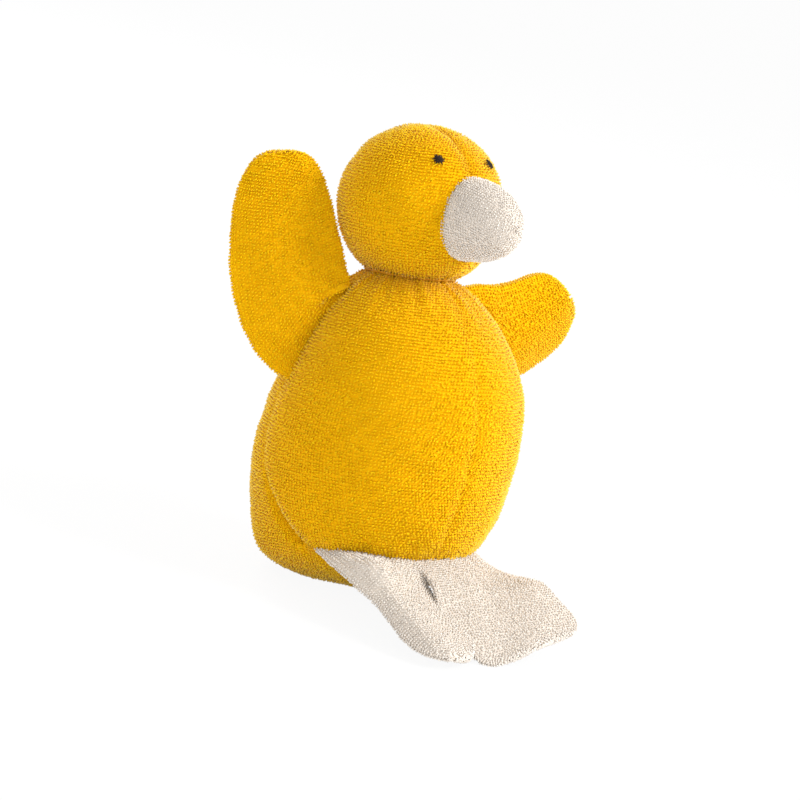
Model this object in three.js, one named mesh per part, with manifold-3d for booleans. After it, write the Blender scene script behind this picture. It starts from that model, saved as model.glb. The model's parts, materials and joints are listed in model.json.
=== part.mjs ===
// A sewn terry chick rattle that sits leaning back on its tail, with spread wings and flat feet.
// It is modelled upright, as it was sewn, and the last group leans it back and sets it on the ground.
// Millimetres and degrees. The chick faces -Y, its own left is +X, and up is +Z.
import * as THREE from "three";
import { mergeVertices } from "three/addons/utils/BufferGeometryUtils.js";
import Module from "manifold-3d";

const wasm = await Module();
wasm.setup();

// Cloth, thread and the room left between sewn pieces
const TERRY = 2.2;
const FELT_TERRY = 1.8;
const THREAD = 1.1;
const SEAM_GAP = 0.3;
const REST_GAP = 0.3;

// Body: an egg whose chest leans forward and whose tail hangs lower at the back
const BODY_RADIUS = 42.8;
const BODY_BELLY = 49;
const BODY_UPPER = 60;
const LOWER_SQUARENESS = 2.6;
const UPPER_SQUARENESS = 1.9;
const CHEST_LEAN = 4;
const TAIL_LOBE = 5;
const TAIL_HEIGHT = 12;
const TAIL_SPREAD = 15;
const TAIL_FROM = 60;
const TAIL_TO = 130;
const TAIL_DROP = 5;
const TAIL_DROP_TOP = 32;
const BASE_FADE = 7;
const LEAN_BACK = 7;
const SEAT_DEPTH = 0.5;

// Seams of the body: one down the chest, one round each side and one across under the belly
const SIDE_SEAM = 110;
const SIDE_SEAM_FOOT = 76;
const SIDE_SEAM_TURN = 50;
const SIDE_SEAM_SWEEP = 1.3;
const BELLY_SEAM = 14;
const SEAM_PULL = 1.1;
const SEAM_WIDTH = 3.2;

// Neck: a gathered ring that the head turns, tilts and nods on
const NECK_RADIUS = 15;
const NECK_OPENING = 11;
const NECK_PIVOT_BELOW = 15.5;
const NECK_CORE_RADIUS = 8;
const NECK_CORE_REACH = 9;
const HEAD_TILT = 8;
const HEAD_NOD = 12;
const SHOULDER_SPARE = 4;
const SHOULDER_LOOKS = 60;
const HEAD_ROOM_TURN = 100;
const HEAD_ROOM_STEPS = 12;

// Head: a ball sewn from two halves
const HEAD_RADIUS = 27.3;
const HEAD_ABOVE_NECK = 23.5;
const HEAD_SEAM_PULL = 0.7;

// Beak: a blunt stuffed cone
const BEAK_LENGTH = 22.6;
const BEAK_RADIUS = 13.6;
const BEAK_SEAT = 0.9;
const BEAK_DROP = 5;
const BEAK_TAPER = 1.9;
const BEAK_BLUNTNESS = 0.58;

// Eyes: flat stars of embroidery thread
const EYE_RADIUS = 2.2;
const EYE_WAIST = 1.1;
const EYE_POINTS = 6;
const EYE_AZIMUTH = 29.5;
const EYE_RISE = 37.5;
const EYE_THICKNESS = 0.9;

// Wings: flat pillows sewn into the side seams. Reach is how far the tip stands off, bend how far it
// sweeps along the seam towards the neck, elbow the sweep half way, and swing its turn to the back.
const WING_ROOT_HALF = 19.5;
const WING_TIP_HALF = 15.2;
const WING_FULLNESS = 1.5;
const WING_PAD = 2.6;
const WING_PAD_FROM = 0.1;
const WING_PAD_TO = 0.9;
const WING_PAD_ACROSS = 0.8;
const WING_TIP_SQUARENESS = 5;
const WING_ROOT_EASE = 3;
const WING_SPARE = 3;
const WING_ROOT_LOW = 67;
const WING_ROOT_HIGH = 98;
const WING_FLAP_BACK = 30;
const WING_FLAP_FORWARD = 30;
const WING_POSE = {
  right: { reach: 44, bend: 40, elbow: 11, swing: 14 },
  left: { reach: 51, bend: -20, elbow: -4, swing: -20 },
};

// Feet: flat double cloth sewn into the belly seam. Fold is the height of the crease along it.
const FOOT_ROOT_HALF = 15;
const FOOT_RIDGE = 0.7;
const FOOT_CREASE = 0.17;
const LIMB_SEARCH = 12;
const LIMB_CLEARANCE = 1;
const FOOT_LIFT = 30;
const FOOT_DROOP = 20;
const FOOT_SPARE = 18;
const FOOT_WAVES = 2.6;
const FOOT_CORNER = 0.1;
const FOOT_ROOT_EASE = 4;
const FOOT_POSE = {
  right: { azimuth: 37, yaw: 10, droop: 29, roll: 4, length: 47, half: 10.8, fold: 8.5, wave: 0.6 },
  left: { azimuth: -24, yaw: 6, droop: 24, roll: 20, length: 45, half: 21, fold: 0, wave: 1.6 },
};

// Rattle: a two-part ball with loose beads, held in the middle of the stuffing
const CASE_RADIUS = 15;
const CASE_WALL = 1.5;
const CASE_LIP = 2.4;
const CASE_HEIGHT = 50;
const FILL_HOLE = 4;
const BEAD_RADIUS = 2.6;
const BEAD_RING = 6.6;
const BEAD_COUNT = 5;

// How finely the soft forms are drawn
const FRONT_COLUMNS = 7;
const BACK_COLUMNS = 6;
const BODY_ROWS = [4, 6, 8];
const SLICE_ROWS = 20;
const SLICE_TURNS = 6;
const SLOPE_STEP = 0.4;
const HEAD_ROWS = 12;
const HEAD_COLUMNS = 24;

const YELLOW = "#f2b70c";
const YELLOW_BACK = "#e0a406";
const OFF_WHITE = "#e4dcd0";
const WADDING = "#f3f1ea";
const BROWN = "#3a2a20";
const CASE_COLOUR = "#e9ecee";
const BEAD_COLOUR = "#c9ccd0";

const rad = THREE.MathUtils.degToRad;
const V = (x, y, z) => new THREE.Vector3(x, y, z);
const clamp01 = (x) => Math.min(1, Math.max(0, x));
const smooth = (x) => clamp01(x) ** 2 * (3 - 2 * clamp01(x));

const NECK_SHARE = (1 - (NECK_RADIUS / BODY_RADIUS) ** UPPER_SQUARENESS) ** (1 / UPPER_SQUARENESS);
const NECK_HEIGHT = BODY_BELLY + BODY_UPPER * NECK_SHARE;
const HEAD_CENTRE = V(0, 0, NECK_HEIGHT + HEAD_ABOVE_NECK);
const NECK_PIVOT = V(0, 0, NECK_HEIGHT - NECK_PIVOT_BELOW);

// A closed solid from points and triangles. Triangles that lost a side when points met are dropped.
function solidOf(points, triangles) {
  const raw = new THREE.BufferGeometry().setFromPoints(points);
  raw.setIndex(triangles);
  return manifoldOf(raw);
}

function manifoldOf(geometry) {
  const bare = geometry.clone();
  bare.deleteAttribute("normal");
  bare.deleteAttribute("uv");
  const merged = mergeVertices(bare, 1e-4);
  const index = merged.index.array;
  const kept = [];
  for (let i = 0; i < index.length; i += 3) {
    const [a, b, c] = [index[i], index[i + 1], index[i + 2]];
    if (a !== b && b !== c && c !== a) kept.push(a, b, c);
  }
  const vertProperties = merged.attributes.position.array;
  return new wasm.Manifold(new wasm.Mesh({ numProp: 3, vertProperties, triVerts: new Uint32Array(kept) }));
}

// Rings of equal count from the lowest to the highest, each turning anticlockwise seen from above.
// The first and last rings are closed by a fan, or are single points already.
function lofted(rings) {
  const count = rings[0].length;
  const points = rings.flat();
  const triangles = [];
  for (let r = 0; r + 1 < rings.length; r++) {
    for (let k = 0; k < count; k++) {
      const a = r * count + k;
      const b = r * count + ((k + 1) % count);
      triangles.push(a, b, b + count, a, b + count, a + count);
    }
  }
  for (const end of [0, rings.length - 1]) {
    const middle = rings[end].reduce((sum, p) => sum.add(p), V(0, 0, 0)).divideScalar(count);
    points.push(middle);
    const m = points.length - 1;
    for (let k = 0; k < count; k++) {
      const a = end * count + k;
      const b = end * count + ((k + 1) % count);
      if (end === 0) triangles.push(b, a, m);
      else triangles.push(a, b, m);
    }
  }
  return solidOf(points, triangles);
}

// The space between two sheets with the same grid, over(u, v) on top and under(u, v) below.
function between(over, under, across, along) {
  const points = [];
  const triangles = [];
  for (const sheet of [under, over]) {
    for (let j = 0; j <= along; j++) {
      for (let i = 0; i <= across; i++) points.push(sheet(j / along, (2 * i) / across - 1));
    }
  }
  const size = (across + 1) * (along + 1);
  const at = (i, j, layer) => layer * size + j * (across + 1) + i;
  for (let j = 0; j < along; j++) {
    for (let i = 0; i < across; i++) {
      triangles.push(at(i, j, 1), at(i + 1, j, 1), at(i + 1, j + 1, 1));
      triangles.push(at(i, j, 1), at(i + 1, j + 1, 1), at(i, j + 1, 1));
      triangles.push(at(i, j, 0), at(i + 1, j + 1, 0), at(i + 1, j, 0));
      triangles.push(at(i, j, 0), at(i, j + 1, 0), at(i + 1, j + 1, 0));
    }
  }
  const wall = (i0, j0, i1, j1) => {
    triangles.push(at(i0, j0, 0), at(i1, j1, 0), at(i1, j1, 1));
    triangles.push(at(i0, j0, 0), at(i1, j1, 1), at(i0, j0, 1));
  };
  for (let i = 0; i < across; i++) {
    wall(i, 0, i + 1, 0);
    wall(i + 1, along, i, along);
  }
  for (let j = 0; j < along; j++) {
    wall(0, j + 1, 0, j);
    wall(across, j, across, j + 1);
  }
  return solidOf(points, triangles);
}

function steps(low, high, count) {
  return Array.from({ length: count + 1 }, (_, k) => low + ((high - low) * k) / count);
}

// Body form
const chestY = (z) => -CHEST_LEAN * Math.sin((Math.PI * (z - BODY_BELLY)) / (NECK_HEIGHT - BODY_BELLY));

function bodyRadius(z) {
  const below = z < BODY_BELLY;
  const n = below ? LOWER_SQUARENESS : UPPER_SQUARENESS;
  const share = clamp01(below ? (BODY_BELLY - z) / BODY_BELLY : (z - BODY_BELLY) / BODY_UPPER);
  return BODY_RADIUS * (1 - share ** n) ** (1 / n);
}

// Azimuths run from the front, 0, towards the chick's right, +, or its left, -.
function sideSeam(z) {
  const share = clamp01((SIDE_SEAM_TURN - z) / (SIDE_SEAM_TURN - BELLY_SEAM));
  return SIDE_SEAM - (SIDE_SEAM - SIDE_SEAM_FOOT) * share ** SIDE_SEAM_SWEEP;
}

const seamDip = (distance) => SEAM_PULL * Math.exp(-((distance / SEAM_WIDTH) ** 2));

function bodyPoint(azimuth, z) {
  const turn = Math.abs(azimuth);
  const plain = bodyRadius(z);
  const lobe = smooth((turn - TAIL_FROM) / (TAIL_TO - TAIL_FROM));
  const hang = Math.exp(-(((z - TAIL_HEIGHT) / TAIL_SPREAD) ** 2)) * Math.sqrt(clamp01(z / BASE_FADE));
  const fade = clamp01(z / BASE_FADE);
  const past = Math.max(0, rad(turn - sideSeam(z)) * plain);
  const chest = seamDip(rad(turn) * plain);
  const side = seamDip(rad(turn - sideSeam(z)) * plain);
  const upward = smooth((z - BELLY_SEAM) / SEAM_WIDTH) * smooth(plain / NECK_RADIUS - 0.5);
  const pulled = fade * (upward * Math.max(chest, side) + seamDip(Math.hypot(z - BELLY_SEAM, past)));
  const radius = plain + TAIL_LOBE * lobe * hang - pulled;
  const point = V(-Math.sin(rad(azimuth)) * radius, chestY(z) - Math.cos(rad(azimuth)) * radius, z);
  point.z -= TAIL_DROP * smooth((point.y + TAIL_DROP) / BODY_RADIUS) * smooth(1 - z / TAIL_DROP_TOP);
  return point;
}

// The columns follow the seams, so each ring has a point in every seam.
function bodyColumns(z) {
  const seam = sideSeam(z);
  const front = steps(0, seam, FRONT_COLUMNS).slice(0, -1);
  const back = steps(seam, 180, BACK_COLUMNS);
  const half = [...front, ...back];
  const other = half.slice(1, -1).map((a) => -a);
  return [...half.reverse(), ...other];
}

function bodyHeights() {
  const top = BODY_BELLY + BODY_UPPER;
  const ease = (t) => Math.sin((t * Math.PI) / 2) ** 1.3;
  const low = steps(0, 1, BODY_ROWS[0]).map((t) => BELLY_SEAM * t ** 2);
  const mid = steps(0, 1, BODY_ROWS[1]).map((t) => BELLY_SEAM + (BODY_BELLY - BELLY_SEAM) * t);
  const high = steps(0, 1, BODY_ROWS[2]).map((t) => BODY_BELLY + (top - BODY_BELLY) * ease(t));
  return [...low, ...mid.slice(1), ...high.slice(1)];
}

// The body's outer face moved out (+) or in (-) along its normals.
function bodyForm(offset) {
  const top = BODY_BELLY + BODY_UPPER;
  const rings = bodyHeights().map((z) =>
    bodyColumns(z).map((azimuth) => {
      const here = bodyPoint(azimuth, z);
      if (z <= 0) return here.add(V(0, 0, -offset));
      if (z >= top) return here.add(V(0, 0, offset));
      const low = Math.max(0, z - SLOPE_STEP);
      const high = Math.min(top, z + SLOPE_STEP);
      const up = bodyPoint(azimuth, high).sub(bodyPoint(azimuth, low));
      const round = bodyPoint(azimuth - 1, z).sub(bodyPoint(azimuth + 1, z));
      return here.add(round.cross(up).normalize().multiplyScalar(offset));
    }),
  );
  return lofted(rings);
}

// A slice of cake from the chest seam to the side seam and from the belly seam up, less the seam gaps.
function frontSlice(side, gap) {
  const far = 2 * BODY_RADIUS;
  const rows = [...steps(BELLY_SEAM + gap / 2, SIDE_SEAM_TURN, SLICE_ROWS), BODY_BELLY + BODY_UPPER];
  rows.push(2 * BODY_BELLY + BODY_UPPER);
  const rings = rows.map((z) => {
    const middle = V(0, chestY(Math.min(z, NECK_HEIGHT)), z);
    const plain = Math.max(bodyRadius(z), NECK_OPENING);
    const edge = THREE.MathUtils.radToDeg(gap / 2 / plain);
    const turn = steps(edge, sideSeam(z) - edge, SLICE_TURNS).map(rad);
    const arc = turn.map((a) => V(-side * Math.sin(a) * far, middle.y - Math.cos(a) * far, z));
    const centred = turn[SLICE_TURNS / 2];
    middle.add(V(-side * Math.sin(centred), -Math.cos(centred), 0).multiplyScalar(gap / 2));
    return side > 0 ? [middle, ...arc].reverse() : [middle, ...arc];
  });
  return lofted(rings);
}

// Head form, a ball with a seam over the top from the beak to the nape
function headForm(offset) {
  const rings = steps(-90, 90, HEAD_ROWS).map((rise) =>
    steps(0, 360, HEAD_COLUMNS)
      .slice(0, -1)
      .map((turn) => {
        const across = HEAD_RADIUS * Math.cos(rad(rise)) * Math.sin(rad(turn));
        const near = Math.exp(-((across / SEAM_WIDTH) ** 2));
        const dip = (HEAD_SEAM_PULL * near * (1 + Math.sin(rad(rise)))) / 2;
        const radius = HEAD_RADIUS + offset - dip;
        const flat = Math.cos(rad(rise)) * radius;
        const out = V(Math.sin(rad(turn)) * flat, -Math.cos(rad(turn)) * flat, Math.sin(rad(rise)) * radius);
        return out.add(HEAD_CENTRE);
      }),
  );
  return lofted(rings);
}

// A solid of revolution about an axis from base, along direction, from [radius, height] pairs.
function turned(profile, sides, base, direction) {
  const outline = profile.map(([r, h]) => new THREE.Vector2(r, h));
  const lathe = new THREE.LatheGeometry(outline, sides).rotateX(Math.PI / 2);
  const aim = new THREE.Quaternion().setFromUnitVectors(V(0, 0, 1), direction.clone().normalize());
  return manifoldOf(lathe.applyQuaternion(aim).translate(base.x, base.y, base.z));
}

function ball(centre, radius, sides) {
  const round = new THREE.SphereGeometry(radius, sides, sides / 2).rotateX(Math.PI / 2);
  return manifoldOf(round.translate(centre.x, centre.y, centre.z));
}

const pieces = [];
function piece(name, solid, colour, roughness, metalness = 0) {
  pieces.push({ name, solid, colour, roughness, metalness });
}

const bodyOuter = bodyForm(0);
const headOuter = headForm(0);

// Seat: the lowest point of the leaned body becomes the origin, and a thin slice is cut flat there.
const sit = new THREE.Group();
sit.rotation.x = -rad(LEAN_BACK);
sit.updateMatrixWorld();
const leanedBody = bodyOuter.transform(sit.matrix.elements).getMesh().vertProperties;
const lowest = V(0, 0, Infinity);
for (let i = 0; i < leanedBody.length; i += 3) {
  if (leanedBody[i + 2] < lowest.z) lowest.set(0, leanedBody[i + 1], leanedBody[i + 2]);
}
sit.position.set(0, -lowest.y, -lowest.z - SEAT_DEPTH);
sit.updateMatrixWorld();
const upright = sit.matrix.clone().invert();
const ROOM = 8 * BODY_RADIUS;
const half = ROOM / 2;
const underground = new THREE.BoxGeometry(ROOM, ROOM, ROOM).translate(0, 0, -half);
const ground = manifoldOf(underground).transform(upright.elements);

// Neck pieces first, because the head and the body's stuffing make room for them
const UP = V(0, 0, 1);
const threadHeight = NECK_HEIGHT + REST_GAP + THREAD / 2;
const threadRing = new THREE.TorusGeometry(NECK_RADIUS + THREAD / 2, THREAD / 2, 6, 28);
const neckThread = manifoldOf(threadRing.translate(0, 0, threadHeight));
const coreTop = NECK_PIVOT_BELOW + NECK_CORE_REACH;
const coreOutline = [
  [0, -NECK_CORE_REACH],
  [NECK_CORE_RADIUS * 0.8, -NECK_CORE_REACH * 0.7],
  [NECK_CORE_RADIUS, 0],
  [NECK_CORE_RADIUS, coreTop - NECK_CORE_REACH * 0.6],
  [NECK_CORE_RADIUS * 0.8, coreTop - NECK_CORE_REACH * 0.2],
  [0, coreTop],
];
const neckCore = turned(coreOutline, 16, NECK_PIVOT, UP);

// The room that the neck's stuffing needs as it leans by angle, all round or only to front and back.
function coreRoom(angle, allRound) {
  const rings = coreOutline.map(([r, h]) => {
    const wide = r + REST_GAP;
    const lean = Math.abs(h) * Math.sin(rad(angle)) + r * (1 - Math.cos(rad(angle)));
    const high = h + Math.sign(h) * (REST_GAP + r * Math.sin(rad(angle)));
    return steps(0, 360, 16)
      .slice(0, -1)
      .map((a) => {
        const [c, s] = [Math.cos(rad(a)), Math.sin(rad(a))];
        if (allRound) return V((wide + lean) * c, (wide + lean) * s, high);
        return V(wide * c, wide * s + Math.sign(s) * lean, high);
      })
      .map((p) => p.add(NECK_PIVOT));
  });
  return lofted(rings);
}

// The room under the head, for the shoulders and the neck's thread as the head leans about its pivot
function shoulderRoom() {
  const lean = Math.hypot(HEAD_TILT, HEAD_NOD) + SHOULDER_SPARE;
  const reach = (angle) => {
    const heights = steps(NECK_PIVOT.z - NECK_PIVOT_BELOW, BODY_BELLY + BODY_UPPER, SHOULDER_LOOKS);
    const inView = heights.filter((z) => {
      const polar = THREE.MathUtils.radToDeg(Math.atan2(bodyRadius(z), z - NECK_PIVOT.z));
      return Math.abs(polar - angle) <= lean;
    });
    return Math.max(...inView.map((z) => Math.hypot(bodyRadius(z), z - NECK_PIVOT.z)));
  };
  const outline = steps(0, HEAD_ROOM_TURN, HEAD_ROOM_STEPS).map((angle) => {
    const far = reach(angle) + REST_GAP + THREAD;
    return [far * Math.sin(rad(angle)), far * Math.cos(rad(angle))];
  });
  outline[0][0] = 0;
  outline.push([0, -NECK_PIVOT_BELOW]);
  return turned(outline.reverse(), 32, NECK_PIVOT, UP);
}

// Body covers
function makeBody() {
  const hollow = bodyForm(-TERRY);
  const bore = (radius) => [[0, 0], [radius, 0], [radius, BODY_UPPER], [0, BODY_UPPER]];
  const opening = turned(bore(NECK_OPENING), 20, NECK_PIVOT, UP);
  const cover = bodyOuter.subtract(hollow).subtract(opening).subtract(ground);
  piece("body_front_right", cover.intersect(frontSlice(1, SEAM_GAP)), YELLOW, 0.95);
  piece("body_front_left", cover.intersect(frontSlice(-1, SEAM_GAP)), YELLOW, 0.95);
  const whole = frontSlice(1, -SEAM_GAP).add(frontSlice(-1, -SEAM_GAP));
  piece("body_back_and_base", cover.subtract(whole), YELLOW_BACK, 0.95);

  const middle = V(0, chestY(CASE_HEIGHT), CASE_HEIGHT);
  const pocket = ball(middle, CASE_RADIUS + REST_GAP, 20);
  const filling = bodyForm(-TERRY - 1.5 * REST_GAP).subtract(coreRoom(HEAD_TILT, true));
  const fillHole = turned(bore(FILL_HOLE), 20, middle, UP);
  piece("body_stuffing", filling.subtract(pocket).subtract(fillHole), WADDING, 1);
  makeRattle(middle);
}

// The rattle's two cups, the lower with an inner lip that the upper's outer lip goes over, and its beads
function makeRattle(middle) {
  const inner = CASE_RADIUS - CASE_WALL;
  const step = CASE_RADIUS - CASE_WALL / 2;
  const at = (radius, a) => [radius * Math.cos(rad(a)), radius * Math.sin(rad(a))];
  const arc = (radius, from, to) => steps(from, to, 7).map((a) => at(radius, a));
  const closed = (outline) => {
    outline[0][0] = 0;
    outline[outline.length - 1][0] = 0;
    return outline;
  };
  const lipTop = CASE_LIP + REST_GAP;
  const lipAngle = THREE.MathUtils.radToDeg(Math.asin(lipTop / inner));
  const lower = [
    ...arc(CASE_RADIUS, -90, 0),
    [step - REST_GAP / 2, 0],
    [step - REST_GAP / 2, CASE_LIP],
    [inner, CASE_LIP],
    ...arc(inner, 0, -90),
  ];
  const upper = [
    ...arc(inner, 90, lipAngle),
    [step + REST_GAP / 2, lipTop],
    [step + REST_GAP / 2, REST_GAP],
    ...arc(CASE_RADIUS, THREE.MathUtils.radToDeg(Math.asin(REST_GAP / CASE_RADIUS)), 90),
  ];
  piece("rattle_case_lower", turned(closed(lower), 20, middle, UP), CASE_COLOUR, 0.4);
  piece("rattle_case_upper", turned(closed(upper), 20, middle, UP), CASE_COLOUR, 0.4);
  const fall = Math.sqrt((inner - REST_GAP - BEAD_RADIUS) ** 2 - BEAD_RING ** 2);
  for (let k = 0; k < BEAD_COUNT; k++) {
    const turn = rad((360 * k) / BEAD_COUNT);
    const centre = V(BEAD_RING * Math.cos(turn), BEAD_RING * Math.sin(turn), -fall).add(middle);
    piece("rattle_bead_" + (k + 1), ball(centre, BEAD_RADIUS, 10), BEAD_COLOUR, 0.3, 0.8);
  }
}

// Head covers, stuffing, eyes and beak
function makeHead() {
  const room = shoulderRoom().add(coreRoom(HEAD_NOD, false));
  const cover = headOuter.subtract(headForm(-TERRY)).subtract(room);
  const aside = (half + SEAM_GAP) / 2;
  const rightSide = manifoldOf(new THREE.BoxGeometry(half, ROOM, ROOM).translate(-aside, 0, 0));
  const leftSide = manifoldOf(new THREE.BoxGeometry(half, ROOM, ROOM).translate(aside, 0, 0));
  piece("head_cover_right", cover.intersect(rightSide), YELLOW, 0.95);
  piece("head_cover_left", cover.intersect(leftSide), YELLOW, 0.95);
  piece("head_stuffing", headForm(-TERRY - REST_GAP).subtract(room), WADDING, 1);

  makeEye("eye_right", 1);
  makeEye("eye_left", -1);
  makeBeak();
}

function makeEye(name, side) {
  const flat = Math.cos(rad(EYE_RISE));
  const azimuth = rad(side * EYE_AZIMUTH);
  const out = V(-Math.sin(azimuth) * flat, -Math.cos(azimuth) * flat, Math.sin(rad(EYE_RISE)));
  const star = new THREE.Shape(
    steps(0, 360, 2 * EYE_POINTS)
      .slice(0, -1)
      .map((a, k) => {
        const r = k % 2 ? EYE_WAIST : EYE_RADIUS;
        return new THREE.Vector2(r * Math.cos(rad(a)), r * Math.sin(rad(a)));
      }),
  );
  const thread = new THREE.ExtrudeGeometry(star, { depth: EYE_THICKNESS, bevelEnabled: false });
  thread.applyQuaternion(new THREE.Quaternion().setFromUnitVectors(UP, out));
  const at = HEAD_CENTRE.clone().addScaledVector(out, HEAD_RADIUS + REST_GAP);
  piece(name, manifoldOf(thread.translate(at.x, at.y, at.z)), BROWN, 0.7);
}

function makeBeak() {
  const ahead = V(0, -Math.cos(rad(BEAK_DROP)), -Math.sin(rad(BEAK_DROP)));
  const base = HEAD_CENTRE.clone().addScaledVector(ahead, HEAD_RADIUS * BEAK_SEAT);
  const root = HEAD_RADIUS / 3;
  const beakSolid = (shrink) => {
    const wide = BEAK_RADIUS - shrink;
    const rows = steps(0, 90, 8).map((a) => Math.sin(rad(a)));
    const round = (t) => wide * clamp01(1 - t ** BEAK_TAPER) ** BEAK_BLUNTNESS;
    const cone = rows.map((t) => [round(t), (BEAK_LENGTH - shrink) * t]);
    return turned([[0, -root], [wide, -root], ...cone], 20, base, ahead);
  };
  const clear = headForm(REST_GAP);
  piece("beak_cover", beakSolid(0).subtract(beakSolid(FELT_TERRY)).subtract(clear), OFF_WHITE, 0.95);
  piece("beak_stuffing", beakSolid(FELT_TERRY + REST_GAP).subtract(clear), WADDING, 1);
}

// A limb's thickness near its seam: a knife edge that widens as fast as its swing allows.
function limbLift(full, fromHinge, swing) {
  return Math.min(full, REST_GAP + Math.max(0, fromHinge) / Math.tan(rad(swing)));
}

// How far a point lies outside the body's face, measured level
function outside(point) {
  const level = V(point.x, point.y - chestY(point.z), 0);
  const azimuth = THREE.MathUtils.radToDeg(Math.atan2(-level.x, -level.y));
  const face = bodyPoint(azimuth, point.z);
  return level.length() - Math.hypot(face.x, face.y - chestY(point.z));
}

// How far along a direction a limb's edge starts, so that it just clears the body
function seatAlong(start, direction, face) {
  const edges = [-REST_GAP, 0, REST_GAP].map((lift) => start.clone().addScaledVector(face, lift));
  let [low, high] = [-LIMB_SEARCH, LIMB_SEARCH];
  for (let k = 0; k < 16; k++) {
    const t = (low + high) / 2;
    const clear = edges.every((p) => outside(p.clone().addScaledVector(direction, t)) > LIMB_CLEARANCE);
    if (clear) high = t;
    else low = t;
  }
  return high;
}

// Wings, drawn for the chick's right and mirrored for its left
function wingFrame(side) {
  const low = bodyPoint(SIDE_SEAM, WING_ROOT_LOW);
  const high = bodyPoint(SIDE_SEAM, WING_ROOT_HIGH);
  const along = high.clone().sub(low).normalize();
  const away = V(-Math.sin(rad(SIDE_SEAM)), -Math.cos(rad(SIDE_SEAM)), 0);
  away.addScaledVector(along, -away.dot(along)).normalize();
  const middle = bodyPoint(SIDE_SEAM, (WING_ROOT_LOW + WING_ROOT_HIGH) / 2);
  middle.addScaledVector(away, SEAM_PULL + 2 * REST_GAP);
  const back = V(-Math.cos(rad(SIDE_SEAM)), Math.sin(rad(SIDE_SEAM)), 0);
  const swing = rad(WING_POSE[side].swing);
  const reach = away.clone().multiplyScalar(Math.cos(swing)).addScaledVector(back, Math.sin(swing));
  return { middle, along, away, reach, face: along.clone().cross(reach).normalize() };
}

function wingSheet(side) {
  const frame = wingFrame(side);
  const { middle, along, reach, face } = frame;
  const { reach: stand, bend, elbow, swing } = WING_POSE[side];
  const widest = Math.abs(swing) + Math.max(WING_FLAP_BACK, WING_FLAP_FORWARD) + WING_SPARE;
  const path = new THREE.QuadraticBezierCurve(
    new THREE.Vector2(0, 0),
    new THREE.Vector2(stand / 2, elbow),
    new THREE.Vector2(stand, bend),
  );
  const width = (u) => {
    const taper = WING_ROOT_HALF + (WING_TIP_HALF - WING_ROOT_HALF) * u;
    const full = taper + WING_FULLNESS * Math.sin(Math.PI * u);
    return full * Math.sqrt(1 - u ** WING_TIP_SQUARENESS);
  };
  const spot = (u, v, lift) => {
    const t = Math.sin((u ** 1.3 * Math.PI) / 2);
    const centre = path.getPoint(t);
    const ahead = path.getTangent(t);
    const w = width(t) * v;
    const seat = seatAlong(middle.clone().addScaledVector(along, w), reach, face);
    const free = smooth(u * WING_ROOT_EASE);
    const a = centre.x + seat * (1 - free) - ahead.y * w * free;
    const b = (centre.y + ahead.x * w) * free + w * (1 - free);
    const thick = Math.sign(lift) * limbLift(Math.abs(lift), a, widest);
    return middle.clone().addScaledVector(reach, a).addScaledVector(along, b).addScaledVector(face, thick);
  };
  const pad = (u, v) => WING_PAD * (clamp01(1 - v * v) * clamp01(1 - u ** 3) * smooth(u * 4 - 0.2)) ** 0.6;
  return { spot, pad };
}

function makeWing(side) {
  const { spot, pad } = wingSheet(side);
  const half = SEAM_GAP / 2;
  const lens = (sign) => (u, v) =>
    spot(WING_PAD_FROM + (WING_PAD_TO - WING_PAD_FROM) * u, WING_PAD_ACROSS * v, sign * pad(u, v));
  const inner = (u, v) => pad((u - WING_PAD_FROM) / (WING_PAD_TO - WING_PAD_FROM), v / WING_PAD_ACROSS);
  const sheet = (lift) => (u, v) => spot(u, v, Math.sign(lift) * (inner(u, v) + Math.abs(lift)));
  const front = between(sheet(half + TERRY), sheet(half), 10, 10);
  const back = between(sheet(-half), sheet(-half - TERRY), 10, 10);
  const filling = between(lens(1), lens(-1), 8, 8);
  const mirror = new THREE.Matrix4().makeScale(side === "left" ? -1 : 1, 1, 1).elements;
  piece("wing_" + side + "_front", front.transform(mirror), YELLOW, 0.95);
  piece("wing_" + side + "_back", back.transform(mirror), YELLOW_BACK, 0.95);
  piece("wing_" + side + "_batting", filling.transform(mirror), WADDING, 1);
}

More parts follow.
